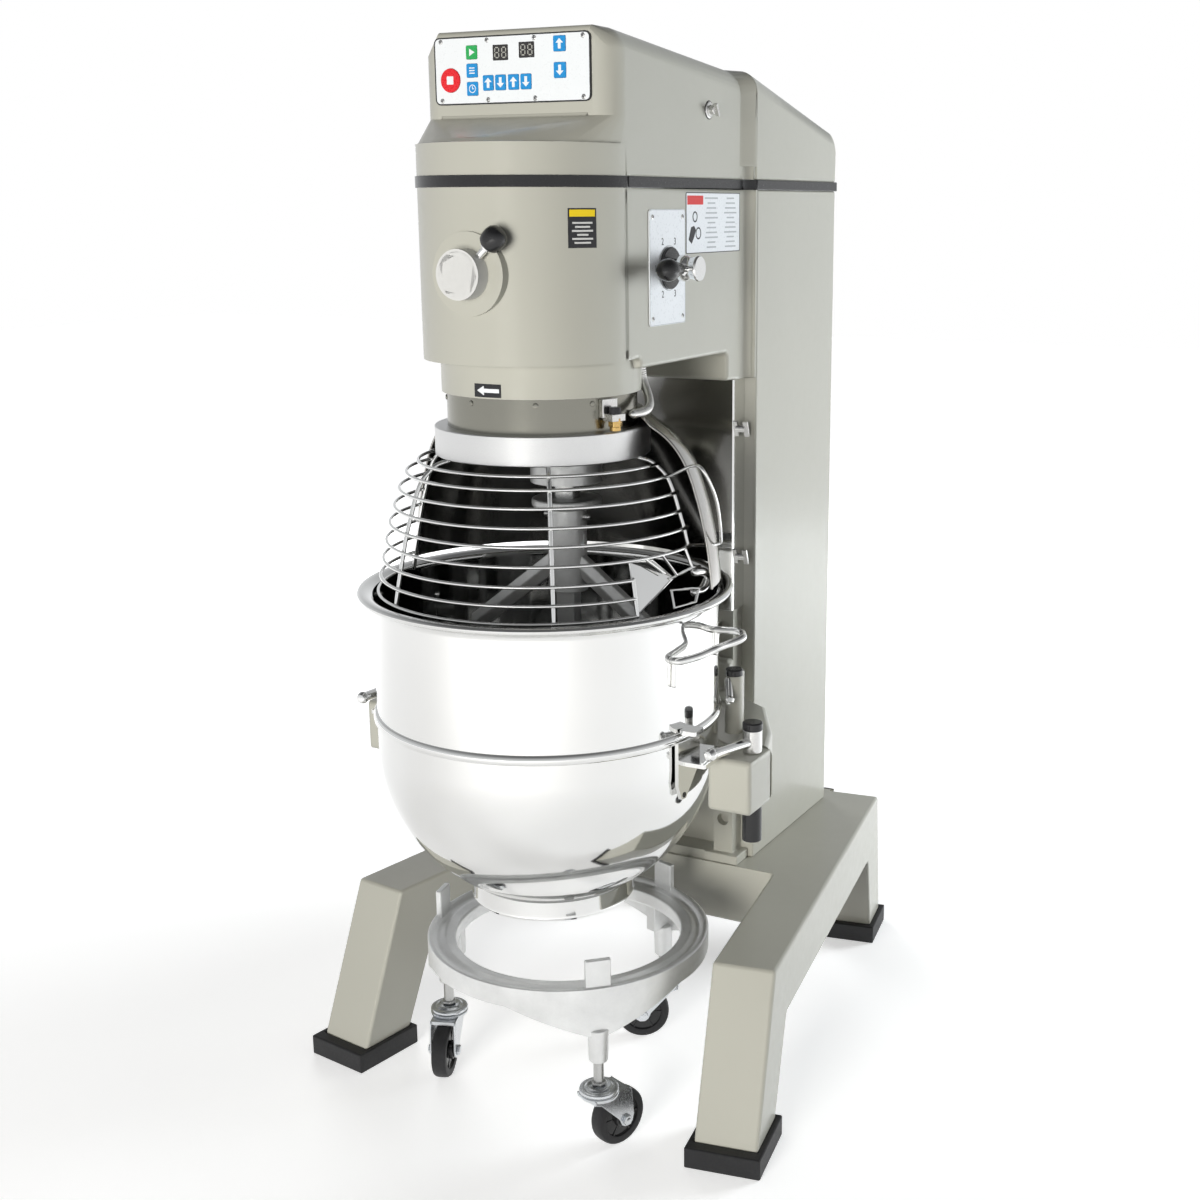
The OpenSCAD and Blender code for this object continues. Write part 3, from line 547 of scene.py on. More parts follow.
def make_cage():
    cage = Build().use(MIRROR)
    for i, (r, z) in enumerate(HOOPS):
        end = GUARD_END if i < 6 else CHUTE_START
        count = 40
        cage.tube([polar(r, -91 + (end + 91) * k / count, z) for k in range(count + 1)], 2.5, 10, 2)
    for azimuth in STAYS:
        lowest = 6 if azimuth > 90 else 9
        line = [polar(153.5, azimuth, 1020), polar(168, azimuth, 1017)]
        line += [polar(r - 4.5, azimuth, z - 1) for r, z in HOOPS[:lowest]]
        cage.tube(line, 3.2, 12, 5)
    # frame that reaches back past the shield's front edge
    wing = [(203, 95, 997), (240, 94, 1014), (258, 93, 1004), (264, 100, 960), (264, 106, 905),
            (258, 108, 890), (233, 96, 897)]  # fmt: skip
    cage.tube([polar(*p) for p in wing], 2.5, 10, 6)
    cage.done("guard_wires", "guard", "bright_steel", ["guard_cage"], sharp=60)


def make_chute():
    chute = Build().use(MIRROR)
    top_left, top_right = polar(221, 63, 893), polar(233, 71, 893)
    apex, foot = polar(235, 81, 862), polar(243, 62.5, 822)
    back = polar(206, 70, 880)
    chute.tube([polar(237, CHUTE_START, 872), polar(247, CHUTE_START, 822)], 3.2, 12)
    for sheet in ((top_left, top_right, apex), (top_left, apex, foot), (back, top_left, foot)):
        a, b, c = sheet
        normal = (b - a).cross(c - a).normalized() * (0.7 * MM)
        chute.add([a + normal, b + normal, c + normal, a - normal, b - normal, c - normal],
                  [(0, 1, 2), (5, 4, 3), (0, 3, 4, 1), (1, 4, 5, 2), (2, 5, 3, 0)])  # fmt: skip
    chute.tube([top_left, top_right, apex, foot], 1.6, 8, smooth=False)
    for wire in (
        [polar(232.5, 68, 897), polar(237, 76, 872)],
        [polar(232.5, 76, 897), polar(238, 82, 866)],
        [polar(232.5, 90, 897), polar(240, 92, 868)],
        [polar(236, 79, 862), polar(240, 92, 868), polar(243, 97, 866)],
        [polar(238, 79, 845), polar(247, 88, 842), polar(250, 92, 838)],
        [polar(247, 78, 822), polar(249, 90, 820), polar(250, 92, 838)],
        [polar(238, 79, 845), polar(247, 78, 822)],
    ):
        chute.tube(wire, 2.2, 8, smooth=False)
    chute.tube([polar(244, 92, 862), polar(249, 97, 858), polar(251, 100, 846), polar(247, 97, 832),
                polar(243, 92, 832)], 6.5, 16, 6)  # fmt: skip
    chute.done("guard_chute_frame", "guard", "bright_steel", ["guard_chute"], sharp=40)


def make_ring_and_band():
    ring = Build().use(BRUSHED_RING)
    ring.lathe([(150, 1021.6), (155.5, 1021.6), (157, 1023), (157, 1062.3), (155.6, 1063.7),
                (138.2, 1063.7), (138.2, 1055.6), (150, 1055.6)], UP, 160, closed=True)  # fmt: skip
    ring.done("guard_ring_turned", "guard", "cast_aluminium", ["guard_ring"], sharp=40)
    # band and screw heads take the darkened steel colour of painted reflection
    band = Build().use(BAND)
    band.lathe([(133.5, 1050), (146, 1050), (146, 1055.2), (138, 1055.2), (138, 1112.9),
                (133.5, 1112.9)], UP, 160, closed=True)  # fmt: skip
    for azimuth in (-52, -14, 28, 62, 150, 210, 260):
        place = facing(polar(137.6, azimuth, 1104), polar(2, azimuth, 0) - polar(1, azimuth, 0))
        band.lathe([(0.01, 2.6), (2.6, 2.3), (4.0, 1.2), (4.2, 0)], place, 20)
    band.done("steel_band_screwed", "frame", "bright_steel", ["steel_band"], sharp=40)


def make_shield():
    line = [(144, 1086), (156, 1077), (168, 1066), (185, 1055), (199, 1043), (212, 1027),
            (222, 1010), (230, 991), (237, 969), (243, 948), (248, 926), (252.5, 904), (256, 882),
            (259, 858), (261, 834)]  # fmt: skip
    inner = [(r - 1.6, z - 0.6) for r, z in reversed(line)]
    # the darkened steel colour here is painted reflection of the shield's dark inside
    shield = Build().use(SHIELD)
    # the lathe starts at +X and turns anticlockwise, so azimuth 97 is angle 7
    shield.lathe(line + inner, UP, 96, start=7, sweep=166, closed=True)
    for angle in (7, 173):
        a = math.radians(angle)
        edge = [at(r * math.cos(a), r * math.sin(a), z) for r, z in line]
        shield.tube(edge, 2.2, 10, 3)
    shield.lathe([(137.9, 1082), (146, 1082), (146, 1086), (137.9, 1086)], UP, 90, 15, 150, True)
    shield.done("rear_shield_polished", "frame", "bright_steel", ["rear_shield"], sharp=40)


def make_conduit():
    route = [at(128, 66, 1150), at(129, 68, 1130), at(133, 66, 1119), at(140, 61, 1109),
             at(148, 52, 1100), at(155, 40, 1094), at(160, 26, 1090), at(162, 12, 1088),
             at(162, -4, 1087), at(160, -20, 1087)]  # fmt: skip
    path = spline(route, 12)
    conduit = Build().use(SATIN)
    conduit.tube(path, 5.2, 14, smooth=False)
    for i in range(2, len(path) - 2, 2):
        along = (path[i + 1] - path[i - 1]).normalized()
        place = facing(path[i], along, (0.3, 1, 0.2))
        conduit.lathe([(4.6, -1.7), (6.3, -1.1), (6.7, 0), (6.3, 1.1), (4.6, 1.7)], place, 20)
    conduit.done("conduit_armour", "frame", "bright_steel", ["switch_conduit"], sharp=50)
    switch = Build().use(SATIN)
    turn = Matrix.Rotation(math.radians(-18), 4, "Z")
    place = Matrix.Translation(at(0, 0, 0)) @ turn
    switch.prism(rounded_rect(9, 28, 1.5), 1084, 1110, place @ Matrix.Translation((0.142, 0, 0)))
    switch.prism(rounded_rect(22, 24, 2), 1080, 1090, place @ Matrix.Translation((0.154, 0, 0)))
    switch.use(BLACK_AND_HOLE_SHADE)
    gland = place @ Matrix.Translation((0.156, 0, 0))
    switch.lathe([(0.01, 1100), (8, 1099), (9, 1090), (9, 1084), (0.01, 1084)], gland, 24)
    switch.use(BRASS)
    switch.prism(circle(10, 6), 1072, 1084, gland)
    switch.lathe([(0.01, 1072), (8, 1072), (8, 1066), (0.01, 1065)], gland, 24)
    switch.done("guard_switch_gland", "frame", "steel", ["guard_switch"], bevel=0.5)


def make_latches():
    """Quarter-turn locks on both sides of the front hood."""
    for side, label in ((1, "right"), (-1, "left")):
        place = facing(at(side * 156.4, 230, 1510), (side, 0, 0))
        latch = Build().use(SATIN)
        latch.lathe([(12.5, 0), (12.5, 1.2), (11.4, 2.2), (7, 2.6), (6.6, 9.4), (5.8, 10.4),
                     (0.01, 10.4)], place, 40)  # fmt: skip
        latch.prism(rounded_rect(5, 20, 2.2), 10, 16, place @ Matrix.Rotation(0.5, 4, "Z"))
        latch.use(BLACK_AND_HOLE_SHADE).lathe([(13.6, 0), (13.6, 0.8), (12.4, 0.9), (12.4, 0)], place, 40,
                               closed=True)  # fmt: skip
        latch.done("hood_lock_" + label, "frame", "bright_steel",
                   ["hood_latches"] if side > 0 else [], bevel=0.6)  # fmt: skip


make_cage()
make_latches()
make_chute()
make_ring_and_band()
make_shield()
make_conduit()

# ---------------------------------------------------------------- bowl


def make_bowl():
    """Spun bowl: hemispherical bottom, straight wall, rolled rim, welded band and foot ring."""
    outer, wall, centre, rim = 257.5, 2.5, 590.0, 824.0
    profile = [(outer * math.sin(a), centre - outer * math.cos(a))
               for a in [math.radians(max(d, 0.02)) for d in range(0, 91, 3)]]  # fmt: skip
    profile += [(outer, 700), (outer, rim - 24), (outer + 2.2, rim - 17), (outer + 7, rim - 12.5),
                (outer + 14, rim - 11), (outer + 18.5, rim - 10), (outer + 21, rim - 7),
                (outer + 21.5, rim - 4), (outer + 20, rim - 1.4), (outer + 17, rim),
                (outer + 12, rim), (outer + 5, rim - 1.5), (outer - 1, rim - 6),
                (outer - wall, rim - 14), (outer - wall, 700)]  # fmt: skip
    inner = outer - wall
    profile += [(inner * math.sin(a), centre - inner * math.cos(a))
                for a in [math.radians(max(d, 0.02)) for d in range(90, -1, -3)]]  # fmt: skip
    bowl = Build().use(MIRROR)
    bowl.lathe(profile, UP, 160, closed=True)
    # welded band where the two halves meet
    bowl.lathe([(outer - 1, 624.5), (outer + 2.6, 625.2), (outer + 4.8, 628), (outer + 5.4, 632),
                (outer + 4.8, 636), (outer + 2.6, 638.8), (outer - 1, 639.5)],
               UP, 160, closed=True)  # fmt: skip
    bowl.lathe([(119, 364), (119, 337), (120, 333.5), (124.5, 333), (126, 336), (125, 340),
                (124.7, 362)], UP, 128, closed=True)  # fmt: skip
    for side in (1, -1):
        # hanging plate under the band; its pin hole is a black disc of painted shade
        place = facing(at(side * 256, -40, 585), (side, -0.16, 0))
        ear = [(-30 * side, 44), (22 * side, 44), (22 * side, 4), (-12 * side, -42),
               (-22 * side, -42), (-30 * side, -20)]  # fmt: skip
        bowl.use(MIRROR).prism(ear if side > 0 else ear[::-1], 0, 6, place)
        bowl.use(BLACK_AND_HOLE_SHADE).prism([(x - 16 * side, y - 36) for x, y in circle(4.2, 20)], 5, 6.4, place)
        bowl.use(MIRROR)
        flange = rounded_rect(44, 84, 4)
        bowl.prism(flange, 593.4, 599.4, Matrix.Translation(at(side * 272, -18, 0)))
        # catch for the clamp lever
        bowl.prism(rounded_rect(26, 30, 4), 640, 646, Matrix.Translation(at(side * 266, -46, 0)))
    bowl.done("bowl_spun", "bowl_lift", "bright_steel", ["bowl"], sharp=38)


def make_handles():
    handles = Build().use(MIRROR)
    for side in (1, -1):
        line = [(251, -72, 751), (262, -69, 752), (275, -42, 753.5), (285, -10, 757),
                (306, 0, 766), (316, 10, 771), (313, 24, 772), (290, 56, 768), (249, 64, 764)]  # fmt: skip
        handles.tube([at(side * x, y, z) for x, y, z in line], 5.6, 16, 6)
        handles.tube([at(side * 251, -72, 716), at(side * 252, -71, 750)], 4.2, 12)
        handles.tube([at(side * 251, 62, 730), at(side * 252, 63, 764)], 4.2, 12)
    handles.done("bowl_bails", "bowl_lift", "bright_steel", ["bowl_handles"], sharp=60)


def make_clamps():
    for side, label in ((1, "right"), (-1, "left")):
        clamp = Build().use(SATIN)
        place = Matrix.Translation(at(side * 322, 40, 0))
        clamp.lathe([(0.01, 562), (10, 562), (10, 593.5), (14, 593.5), (14.4, 596), (14.4, 628),
                     (0.01, 628)], place, 40)  # fmt: skip
        clamp.use(MIRROR)
        start, end = at(side * 320, 30, 610), at(side * 306, -58, 618)
        clamp.tube([start, start.lerp(end, 0.5), end], 7.5, 20, 4)
        tip = start + (end - start) * 1.06
        clamp.lathe([(0.01, -9), (6, -7.5), (9, -3), (9.6, 0), (9, 4), (6, 8), (0.01, 9)],
                    facing(tip, end - start), 28)  # fmt: skip
        clamp.use(BLACK_AND_HOLE_SHADE)
        clamp.lathe([(0.01, 640.5), (13.5, 640), (15, 638.5), (15, 629), (14, 628), (0.01, 628)],
                    place, 40)  # fmt: skip
        clamp.done("clamp_" + label + "_lever", "clamp_r" if side > 0 else "clamp_l",
                   "bright_steel", ["clamp_" + label], bevel=0.4)  # fmt: skip
        stop = Build().use(BLACK_AND_HOLE_SHADE)
        stop.lathe([(0.01, 456), (13, 456), (14.5, 457.5), (14.5, 511), (0.01, 511)], place, 40)
        # second post on the carriage, with its cap and small lever
        post = Matrix.Translation(at(side * 240, 150, 0))
        stop.lathe([(0.01, 682), (12, 681.5), (13.5, 680), (13.5, 671), (0.01, 671)], post, 32)
        stop.use(PAINT).lathe([(14, 580), (14, 666), (12, 671), (0.01, 671)], post, 32)
        stop.use(MIRROR)
        stop.tube([at(side * 236, 138, 664), at(side * 247, 118, 642)], 6, 16)
        stop.lathe([(0.01, -7), (5, -5.5), (7.6, 0), (5, 5.5), (0.01, 7)],
                   facing(at(side * 248, 117, 641), (side, -1.6, -1.8)), 20)  # fmt: skip
        stop.done("yoke_post_" + label, "bowl_lift", "paint", bevel=0.5)


make_bowl()
make_handles()
make_clamps()

# ---------------------------------------------------------------- agitator


def make_agitator():
    hub = Matrix.Translation(at(0, 62, 0))
    carrier = Build().use(CAST)
    carrier.lathe([(0.01, 968), (50, 968), (54, 971), (54.5, 1010), (57, 1030), (60, 1036),
                   (0.01, 1036)], hub, 64)  # fmt: skip
    carrier.lathe([(22, 1036), (118, 1036), (126, 1040), (128, 1046), (128, 1076), (22, 1076)],
                  UP, 96, closed=True)  # fmt: skip
    carrier.done("planetary_shell", "carrier", "steel", sharp=38)
    shank = Build().use(CAST)
    shank.lathe([(0.01, 943.5), (50, 943.5), (53, 941.5), (53, 932), (50, 930), (31, 929),
                 (29.5, 924), (29.5, 812), (30.5, 800), (0.01, 800)], hub, 64)  # fmt: skip
    shank.use(MACHINED)
    shank.tube([at(-36, 62, 915), at(36, 62, 915)], 5, 16)
    # flat frame of the beater, outline and windows as separate bars with a raised rib
    shank.use(CAST)
    half = [(26, 858), (176, 742), (183, 700), (183, 590), (176, 530), (158, 474), (126, 424),
            (66, 384), (0, 376)]  # fmt: skip
    outline = half + [(-x, z) for x, z in reversed(half[:-1])]
    inner = [(20, 826), (150, 726), (157, 694), (157, 592), (150, 540), (135, 490), (108, 448),
             (56, 412), (0, 404)]  # fmt: skip
    inside = inner + [(-x, z) for x, z in reversed(inner[:-1])]
    n = len(outline)
    for face in (-1, 1):
        ring = []
        for k in range(n - 1):
            a, b, c, d = outline[k], outline[k + 1], inside[k + 1], inside[k]
            ring.append((a, b, c, d))
        verts, faces = [], []
        for quad in ring:
            base = len(verts)
            mid = [((quad[0][0] + quad[3][0]) / 2, (quad[0][1] + quad[3][1]) / 2),
                   ((quad[1][0] + quad[2][0]) / 2, (quad[1][1] + quad[2][1]) / 2)]  # fmt: skip
            for (x, z), y in ((quad[0], 7), (quad[1], 7), (mid[1], 12), (mid[0], 12),
                              (quad[2], 7), (quad[3], 7)):  # fmt: skip
                verts.append(at(x, 62 + face * y, z))
            faces += [(base, base + 1, base + 2, base + 3), (base + 3, base + 2, base + 4, base + 5)]
        shank.add(verts, faces)
    for loop in (outline, inside):
        verts, faces = [], []
        for k, (x, z) in enumerate(loop):
            verts += [at(x, 55, z), at(x, 69, z)]
            if k:
                faces.append((2 * k - 2, 2 * k - 1, 2 * k + 1, 2 * k))
        shank.add(verts, faces)
    bar_place = facing(at(0, 62, 600), (0, -1, 0))
    for z, width in ((600, 318), (488, 286)):
        place = facing(at(0, 62, z), (0, -1, 0))
        shank.prism([(-width / 2, -10), (width / 2, -10), (width / 2, 10), (-width / 2, 10)],
                    -9, 9, place)  # fmt: skip
    shank.prism([(-13, -196), (13, -196), (16, 205), (-16, 205)], -11, 11, bar_place)
    shank.done("flat_beater", "agitator", "cast_aluminium", ["beater"], bevel=1.5, sharp=38)


make_agitator()

# ---------------------------------------------------------------- console and speed selector

CONSOLE = facing(at(0, -62, 1553), (0, -1, 0))
ARROW = [(0, 6.8), (-6, 0.8), (-2.2, 0.8), (-2.2, -6.8), (2.2, -6.8), (2.2, 0.8), (6, 0.8)]


def moved(outline, x, y, scale=1.0, turn=0.0):
    c, s = math.cos(math.radians(turn)), math.sin(math.radians(turn))
    return [(x + scale * (c * u - s * v), y + scale * (s * u + c * v)) for u, v in outline]


def border(build, w, h, r, width, low, high, place):
    """A thin printed frame that follows a rounded rectangle."""
    outer = rounded_rect(w, h, r)
    inner = rounded_rect(w - 2 * width, h - 2 * width, max(r - width, 0.5))
    verts, n = [], len(outer)
    for z in (low, high):
        verts += [place @ Vector((x * MM, y * MM, z * MM)) for x, y in outer + inner]
    faces = []
    for i in range(n):
        j = (i + 1) % n
        faces += [(i, j, n + j, n + i), (2 * n + i, 2 * n + j, 3 * n + j, 3 * n + i),
                  (i, j, 2 * n + j, 2 * n + i), (n + i, n + j, 3 * n + j, 3 * n + i)]  # fmt: skip
    build.add(verts, faces)


def make_console():
    edge = Build().use(INK)
    border(edge, 250.6, 89.6, 8.2, 1.8, -2.8, 0.15, CONSOLE)
    edge.done("console_edge", "frame", "black_plastic")
    windows = Build()
    for x, z in ((-16, 22), (26, 24)):
        windows.use(WINDOW).prism(rounded_rect(24.5, 20.5, 1.2), -0.5, 0.5, moved_place(x, z))
        windows.use(SEGMENT)
        for digit in (-5.6, 5.6):
            for u, v, wide, tall in ((0, 6.6, 4.6, 1.4), (0, 0, 4.6, 1.4), (0, -6.6, 4.6, 1.4),
                                     (-3.2, 3.3, 1.4, 4.8), (3.2, 3.3, 1.4, 4.8),
                                     (-3.2, -3.3, 1.4, 4.8), (3.2, -3.3, 1.4, 4.8)):  # fmt: skip
                windows.prism(moved(rounded_rect(wide, tall, 0.5, 2), digit + u, v), 0.4, 0.62,
                              moved_place(x, z))  # fmt: skip
    windows.done("timer_windows", "frame", "black_plastic", ["timer_displays"])
    for name, x, z, icon in (
        ("start_button", -63, 24, "play"), ("manual_button", -63, 0, "bar"),
        ("timer_button", -63, -24, "clock"), ("minutes_up", -37, -17, "up"),
        ("minutes_down", -17, -17, "down"), ("seconds_up", 4, -17, "up"),
        ("seconds_down", 24, -17, "down"), ("bowl_up", 78, 30, "up"), ("bowl_down", 78, -4, "down"),
    ):  # fmt: skip
        tall = 18 if icon in ("play", "bar", "clock") else 20
        wide = 19 if name.startswith("bowl") else 17 if tall == 20 else 18
        key = Build().use(GREEN if name == "start_button" else BLUE)
        place = moved_place(x, z)
        key.prism(rounded_rect(wide, tall, 1.6), -2.2, 0.8, place)
        key.use(WHITE)
        if icon == "up":
            key.prism(ARROW, 0.75, 0.95, place)
        elif icon == "down":
            key.prism(moved(ARROW, 0, 0, 1.0, 180), 0.75, 0.95, place)
        elif icon == "play":
            key.prism([(-3.6, -5), (5.2, 0), (-3.6, 5)], 0.75, 0.95, place)
        elif icon == "bar":
            for row in (-3.4, 0, 3.4):
                key.prism(moved(rounded_rect(9, 1.5, 0.5), 0, row), 0.75, 0.95, place)
        else:
            key.lathe([(4.4, 0.75), (4.4, 0.95), (5.6, 0.95), (5.6, 0.75)], place, 28, closed=True)
            key.prism([(-0.5, -0.6), (0.6, -0.6), (0.6, 3.6), (-0.5, 3.6)], 0.75, 0.95, place)
            key.prism([(-0.5, -0.6), (2.8, -0.6), (2.8, 0.5), (-0.5, 0.5)], 0.75, 0.96, place)
        slot = "green_key" if name == "start_button" else "blue_key"
        key.done(name + "_cap", BODY_OF[name], slot, [name], bevel=0.25)
    stop = Build().use(RED)
    place = moved_place(-99, -12)
    stop.lathe([(15.8, -2.2), (16, -1.8), (16, 1.2), (15.4, 1.7), (14, 1.8), (0.01, 1.8)], place, 64)
    stop.use(WHITE).prism(rounded_rect(11, 11, 1.2), 1.75, 1.95, place)
    stop.done("stop_button_cap", BODY_OF["stop_button"], "red_key", ["stop_button"])


def moved_place(x, z):
    return CONSOLE @ Matrix.Translation((x * MM, z * MM, 0))


def dial_number(text, x, z):
    """One printed numeral on the speed plate, beside the dial."""
    curve = bpy.data.curves.new("numeral", "FONT")
    curve.body = text
    curve.size = 14 * MM
    curve.extrude = 0.06 * MM
    curve.align_x = "CENTER"
    curve.align_y = "CENTER"
    holder = bpy.data.objects.new("numeral", curve)
    bpy.context.scene.collection.objects.link(holder)
    bpy.context.view_layer.update()
    mesh = bpy.data.meshes.new_from_object(holder)
    bpy.data.objects.remove(holder)
    mesh.transform(facing(at(158.7, 96.6 + x, 1284.6 + z), (1, 0, 0)))
    mesh.materials.clear()
    mesh.materials.append(INK)
    return mesh


def make_speed_plate():
    place = facing(at(158.6, 92.6, 1285.6), (1, 0, 0))
    plate = Build().use(WHITE)
    plate.prism(rounded_rect(110, 163, 5), -1.9, 0, place)
    plate.use(GREY_INK)
    border(plate, 109, 162, 4.6, 0.9, -0.2, 0.08, place)
    plate.lathe([(31.5, -0.1), (31.5, 0.1), (32.3, 0.1), (32.3, -0.1)],
                facing(at(158.6, 96.6, 1284.6), (1, 0, 0)), 64, closed=True)  # fmt: skip
    plate.done("speed_plate_face", "frame", "white_plate", ["speed_plate"], bevel=0.1)
    for i, (text, x, z) in enumerate((("2", -20, 37), ("3", 18, 37), ("1", -41, 0),
                                      ("2", -20, -37), ("3", 18, -37))):  # fmt: skip
        mesh = dial_number(text, x, z)
        piece = bpy.data.objects.new("dial_numeral_%d" % i, mesh)
        bpy.context.scene.collection.objects.link(piece)
        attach(piece, "frame")
    axle = facing(at(156.5, 96.6, 1284.6), (1, 0, 0))
    hub = Build().use(BLACK_AND_HOLE_SHADE)
    hub.lathe([(0.01, 2.3), (29, 2.3), (30, 3), (30, 6), (28.8, 7.2), (20, 7.8), (14, 8.6),
               (13, 10), (13, 30), (0.01, 30)], axle, 64)  # fmt: skip
    hub.done("speed_hub_disc", "speed", "black_plastic", ["speed_hub"])
    lever = Build().use(MIRROR)
    lever.lathe([(0.01, 21), (18, 21), (19, 22.5), (19, 30), (17, 34), (15.5, 38), (16, 43),
                 (18.2, 48), (18.6, 50.5), (17, 52.6), (0.01, 53)], axle, 56)  # fmt: skip
    lever.tube([at(193, 92, 1284.6), at(193, 52, 1284.6)], 5, 18)
    lever.use(BLACK_AND_HOLE_SHADE)
    lever.lathe([(0.01, 86), (7, 85), (12, 81.5), (15, 76), (16, 69), (15.2, 62), (12, 50),
                 (9.4, 40), (8.4, 33), (0.01, 33)], facing(at(193, 96.6, 1284.6), (0, -1, 0)), 48)  # fmt: skip
    lever.done("speed_lever_knob", "speed", "bright_steel", ["speed_lever"], sharp=50)


def make_screws():
    """Eight domed screws on the console and four on the speed plate, each with a cross slot of painted shade.
    """
    screws = Build()
    places = [moved_place(x, z) for x in (-114, -38, 38, 114) for z in (-39, 39)]
    places += [facing(at(158.6, 92.6 + y, 1285.6 + z), (1, 0, 0)) for y in (-46, 46) for z in (-71, 71)]
    for i, place in enumerate(places):
        screws.use(SATIN)
        screws.lathe([(3.4, -0.2), (3.4, 0.3), (2.8, 0.9), (1.6, 1.3), (0.01, 1.45)], place, 24)
        # cross slots as black bars: painted shade of the recesses
        screws.use(INK)
        for turn in (20 + 31 * i, 110 + 31 * i):
            slot = place @ Matrix.Rotation(math.radians(turn), 4, "Z")
            screws.prism([(-2.1, -0.4), (2.1, -0.4), (2.1, 0.4), (-2.1, 0.4)], 0.6, 1.5, slot)
    screws.done("panel_screw_heads", "frame", "bright_steel", ["panel_screws"])


def make_hub_cap():
    front = facing(at(0, -172, 1283), (0, -1, 0))
    cap = Build().use(CAP_GREY)
    cap.lathe([(0.01, 0), (24, 0), (24, 4), (33.4, 4.5), (33.6, 6), (33.6, 30), (32.8, 32.4),
               (30.5, 33.3), (0.01, 33.3)], front, 72)  # fmt: skip
    cap.done("hub_cap_turned", "cap", "light_plastic", ["hub_cap"])
    # the screw lies across the boss, its knob up and to the right
    across = facing(at(0, -191, 1283), (math.sin(0.82), 0, math.cos(0.82)), (0, -1, 0))
    screw = Build().use(MIRROR)
    screw.lathe([(0.01, 26), (5, 26), (5, 50), (8.5, 51), (9, 56), (0.01, 56)], across, 32)
    screw.use(BLACK_AND_HOLE_SHADE)
    screw.lathe([(0.01, 55), (12, 55), (15, 58), (16.5, 64), (16.5, 72), (15, 78), (11, 82.5),
                 (5, 85), (0.01, 85.5)], across, 40)  # fmt: skip
    screw.done("hub_thumbscrew_knob", "thumbscrew", "black_plastic", ["hub_thumbscrew"])


# ---------------------------------------------------------------- printed labels, without words


def make_side_label():
    low, high, near, far = 1303.0, 1391.0, 154.0, 338.0
    place = facing(at(156.6, (near + far) / 2, (low + high) / 2), (1, 0, 0))
    wide, tall = far - near, high - low
    label = Build().use(WHITE).prism(rounded_rect(wide, tall, 3), -0.3, 0.25, place)
    label.use(INK)
    border(label, wide + 0.4, tall + 0.4, 3, 1.2, -0.3, 0.4, place)
    label.use(RED_PRINT).prism(moved(rounded_rect(52, 13, 1), -62, 33), 0, 0.4, place)
    label.use(INK)
    for x, y, r in ((-63, 9, 8), (-52, -15, 9)):
        spot = place @ Matrix.Translation((x * MM, y * MM, 0))
        label.lathe([(r - 2.2, 0.2), (r - 2.2, 0.42), (r, 0.42), (r, 0.2)], spot, 28, closed=True)
    label.prism([(-84, -24), (-76, -6), (-66, -4), (-60, -10), (-66, -20), (-74, -30)], 0.2, 0.42,
                place)  # fmt: skip
    label.use(GREY_INK)
    for column, first in ((-8, 0), (58, 1)):
        for row in range(11):
            length = 44 - 6 * ((row * 7 + first * 3) % 4)
            y = 36 - row * 7.2
            label.prism(moved(rounded_rect(length, 2.2, 0.6, 2), column, y), 0.2, 0.4, place)
    label.done("side_label", "frame", "white_plate")


def make_curved_labels():
    drum = Matrix.Translation(at(0, -20.6, 0))
    sticker = Build()

    def patch(material, azimuth, sweep, low, high, lift, radius=156.5, axis=drum):
        sticker.use(material)
        sticker.lathe([(radius - 0.3, low), (radius + lift, low), (radius + lift, high),
                       (radius - 0.3, high)], axis, 14, azimuth - 90, sweep, True)  # fmt: skip

    patch(INK, 50.5, 15.6, 1317, 1369, 0.35)
    patch(YELLOW, 51.3, 14.0, 1358, 1367, 0.5)
    for row in range(6):
        inset = (1.2, 2.6, 0.9, 3.6, 1.0, 2.2)[row]
        patch(CAP_GREY, 51.6 + inset, 13.4 - 2 * inset, 1348.6 - row * 5.2, 1351 - row * 5.2, 0.5)
    collar = UP
    patch(INK, -7.8, 17.0, 1115, 1133.5, 0.35, 145, collar)
    patch(WHITE, -1.5, 9.5, 1121.5, 1127, 0.5, 145, collar)
    # arrow head in short strips that narrow towards the left
    for i in range(8):
        half = 0.9 + 0.75 * i
        patch(WHITE, -5.6 + 0.52 * i, 0.56, 1124.25 - half, 1124.25 + half, 0.5, 145, collar)
    sticker.done("curved_labels", "frame", "black_plastic")


# ---------------------------------------------------------------- bowl truck

TRUCK = Matrix.Translation(at(19, 12, 0))
CASTORS = (("front", -47.5, 70), ("left", 192.5, -70), ("rear", 72.5, 211))


def truck_section(angle):
    """The ring's section; its outer wall drops in a broad V to each stem."""
    nearest = min(abs((angle - a + 180) % 360 - 180) for _, a, _ in CASTORS)
    across = 215 * math.sin(math.radians(min(nearest, 90)))
    drop = min(max((across - 14) / 116, 0), 1)
    low = 190 + 44 * drop
    return [(218.5, low), (220, low + 2), (220, 266), (218.5, 268), (215, 268.4), (210, 267),
            (207, 263.5), (204, 262), (199, 262.6), (195, 264.6), (190, 264.8), (184, 263),
            (178, 263), (176, 261), (176, 242), (178, 240), (184, 240), (186, 252), (208, 253),
            (211, 250), (211, low + 2), (212.5, low)]  # fmt: skip


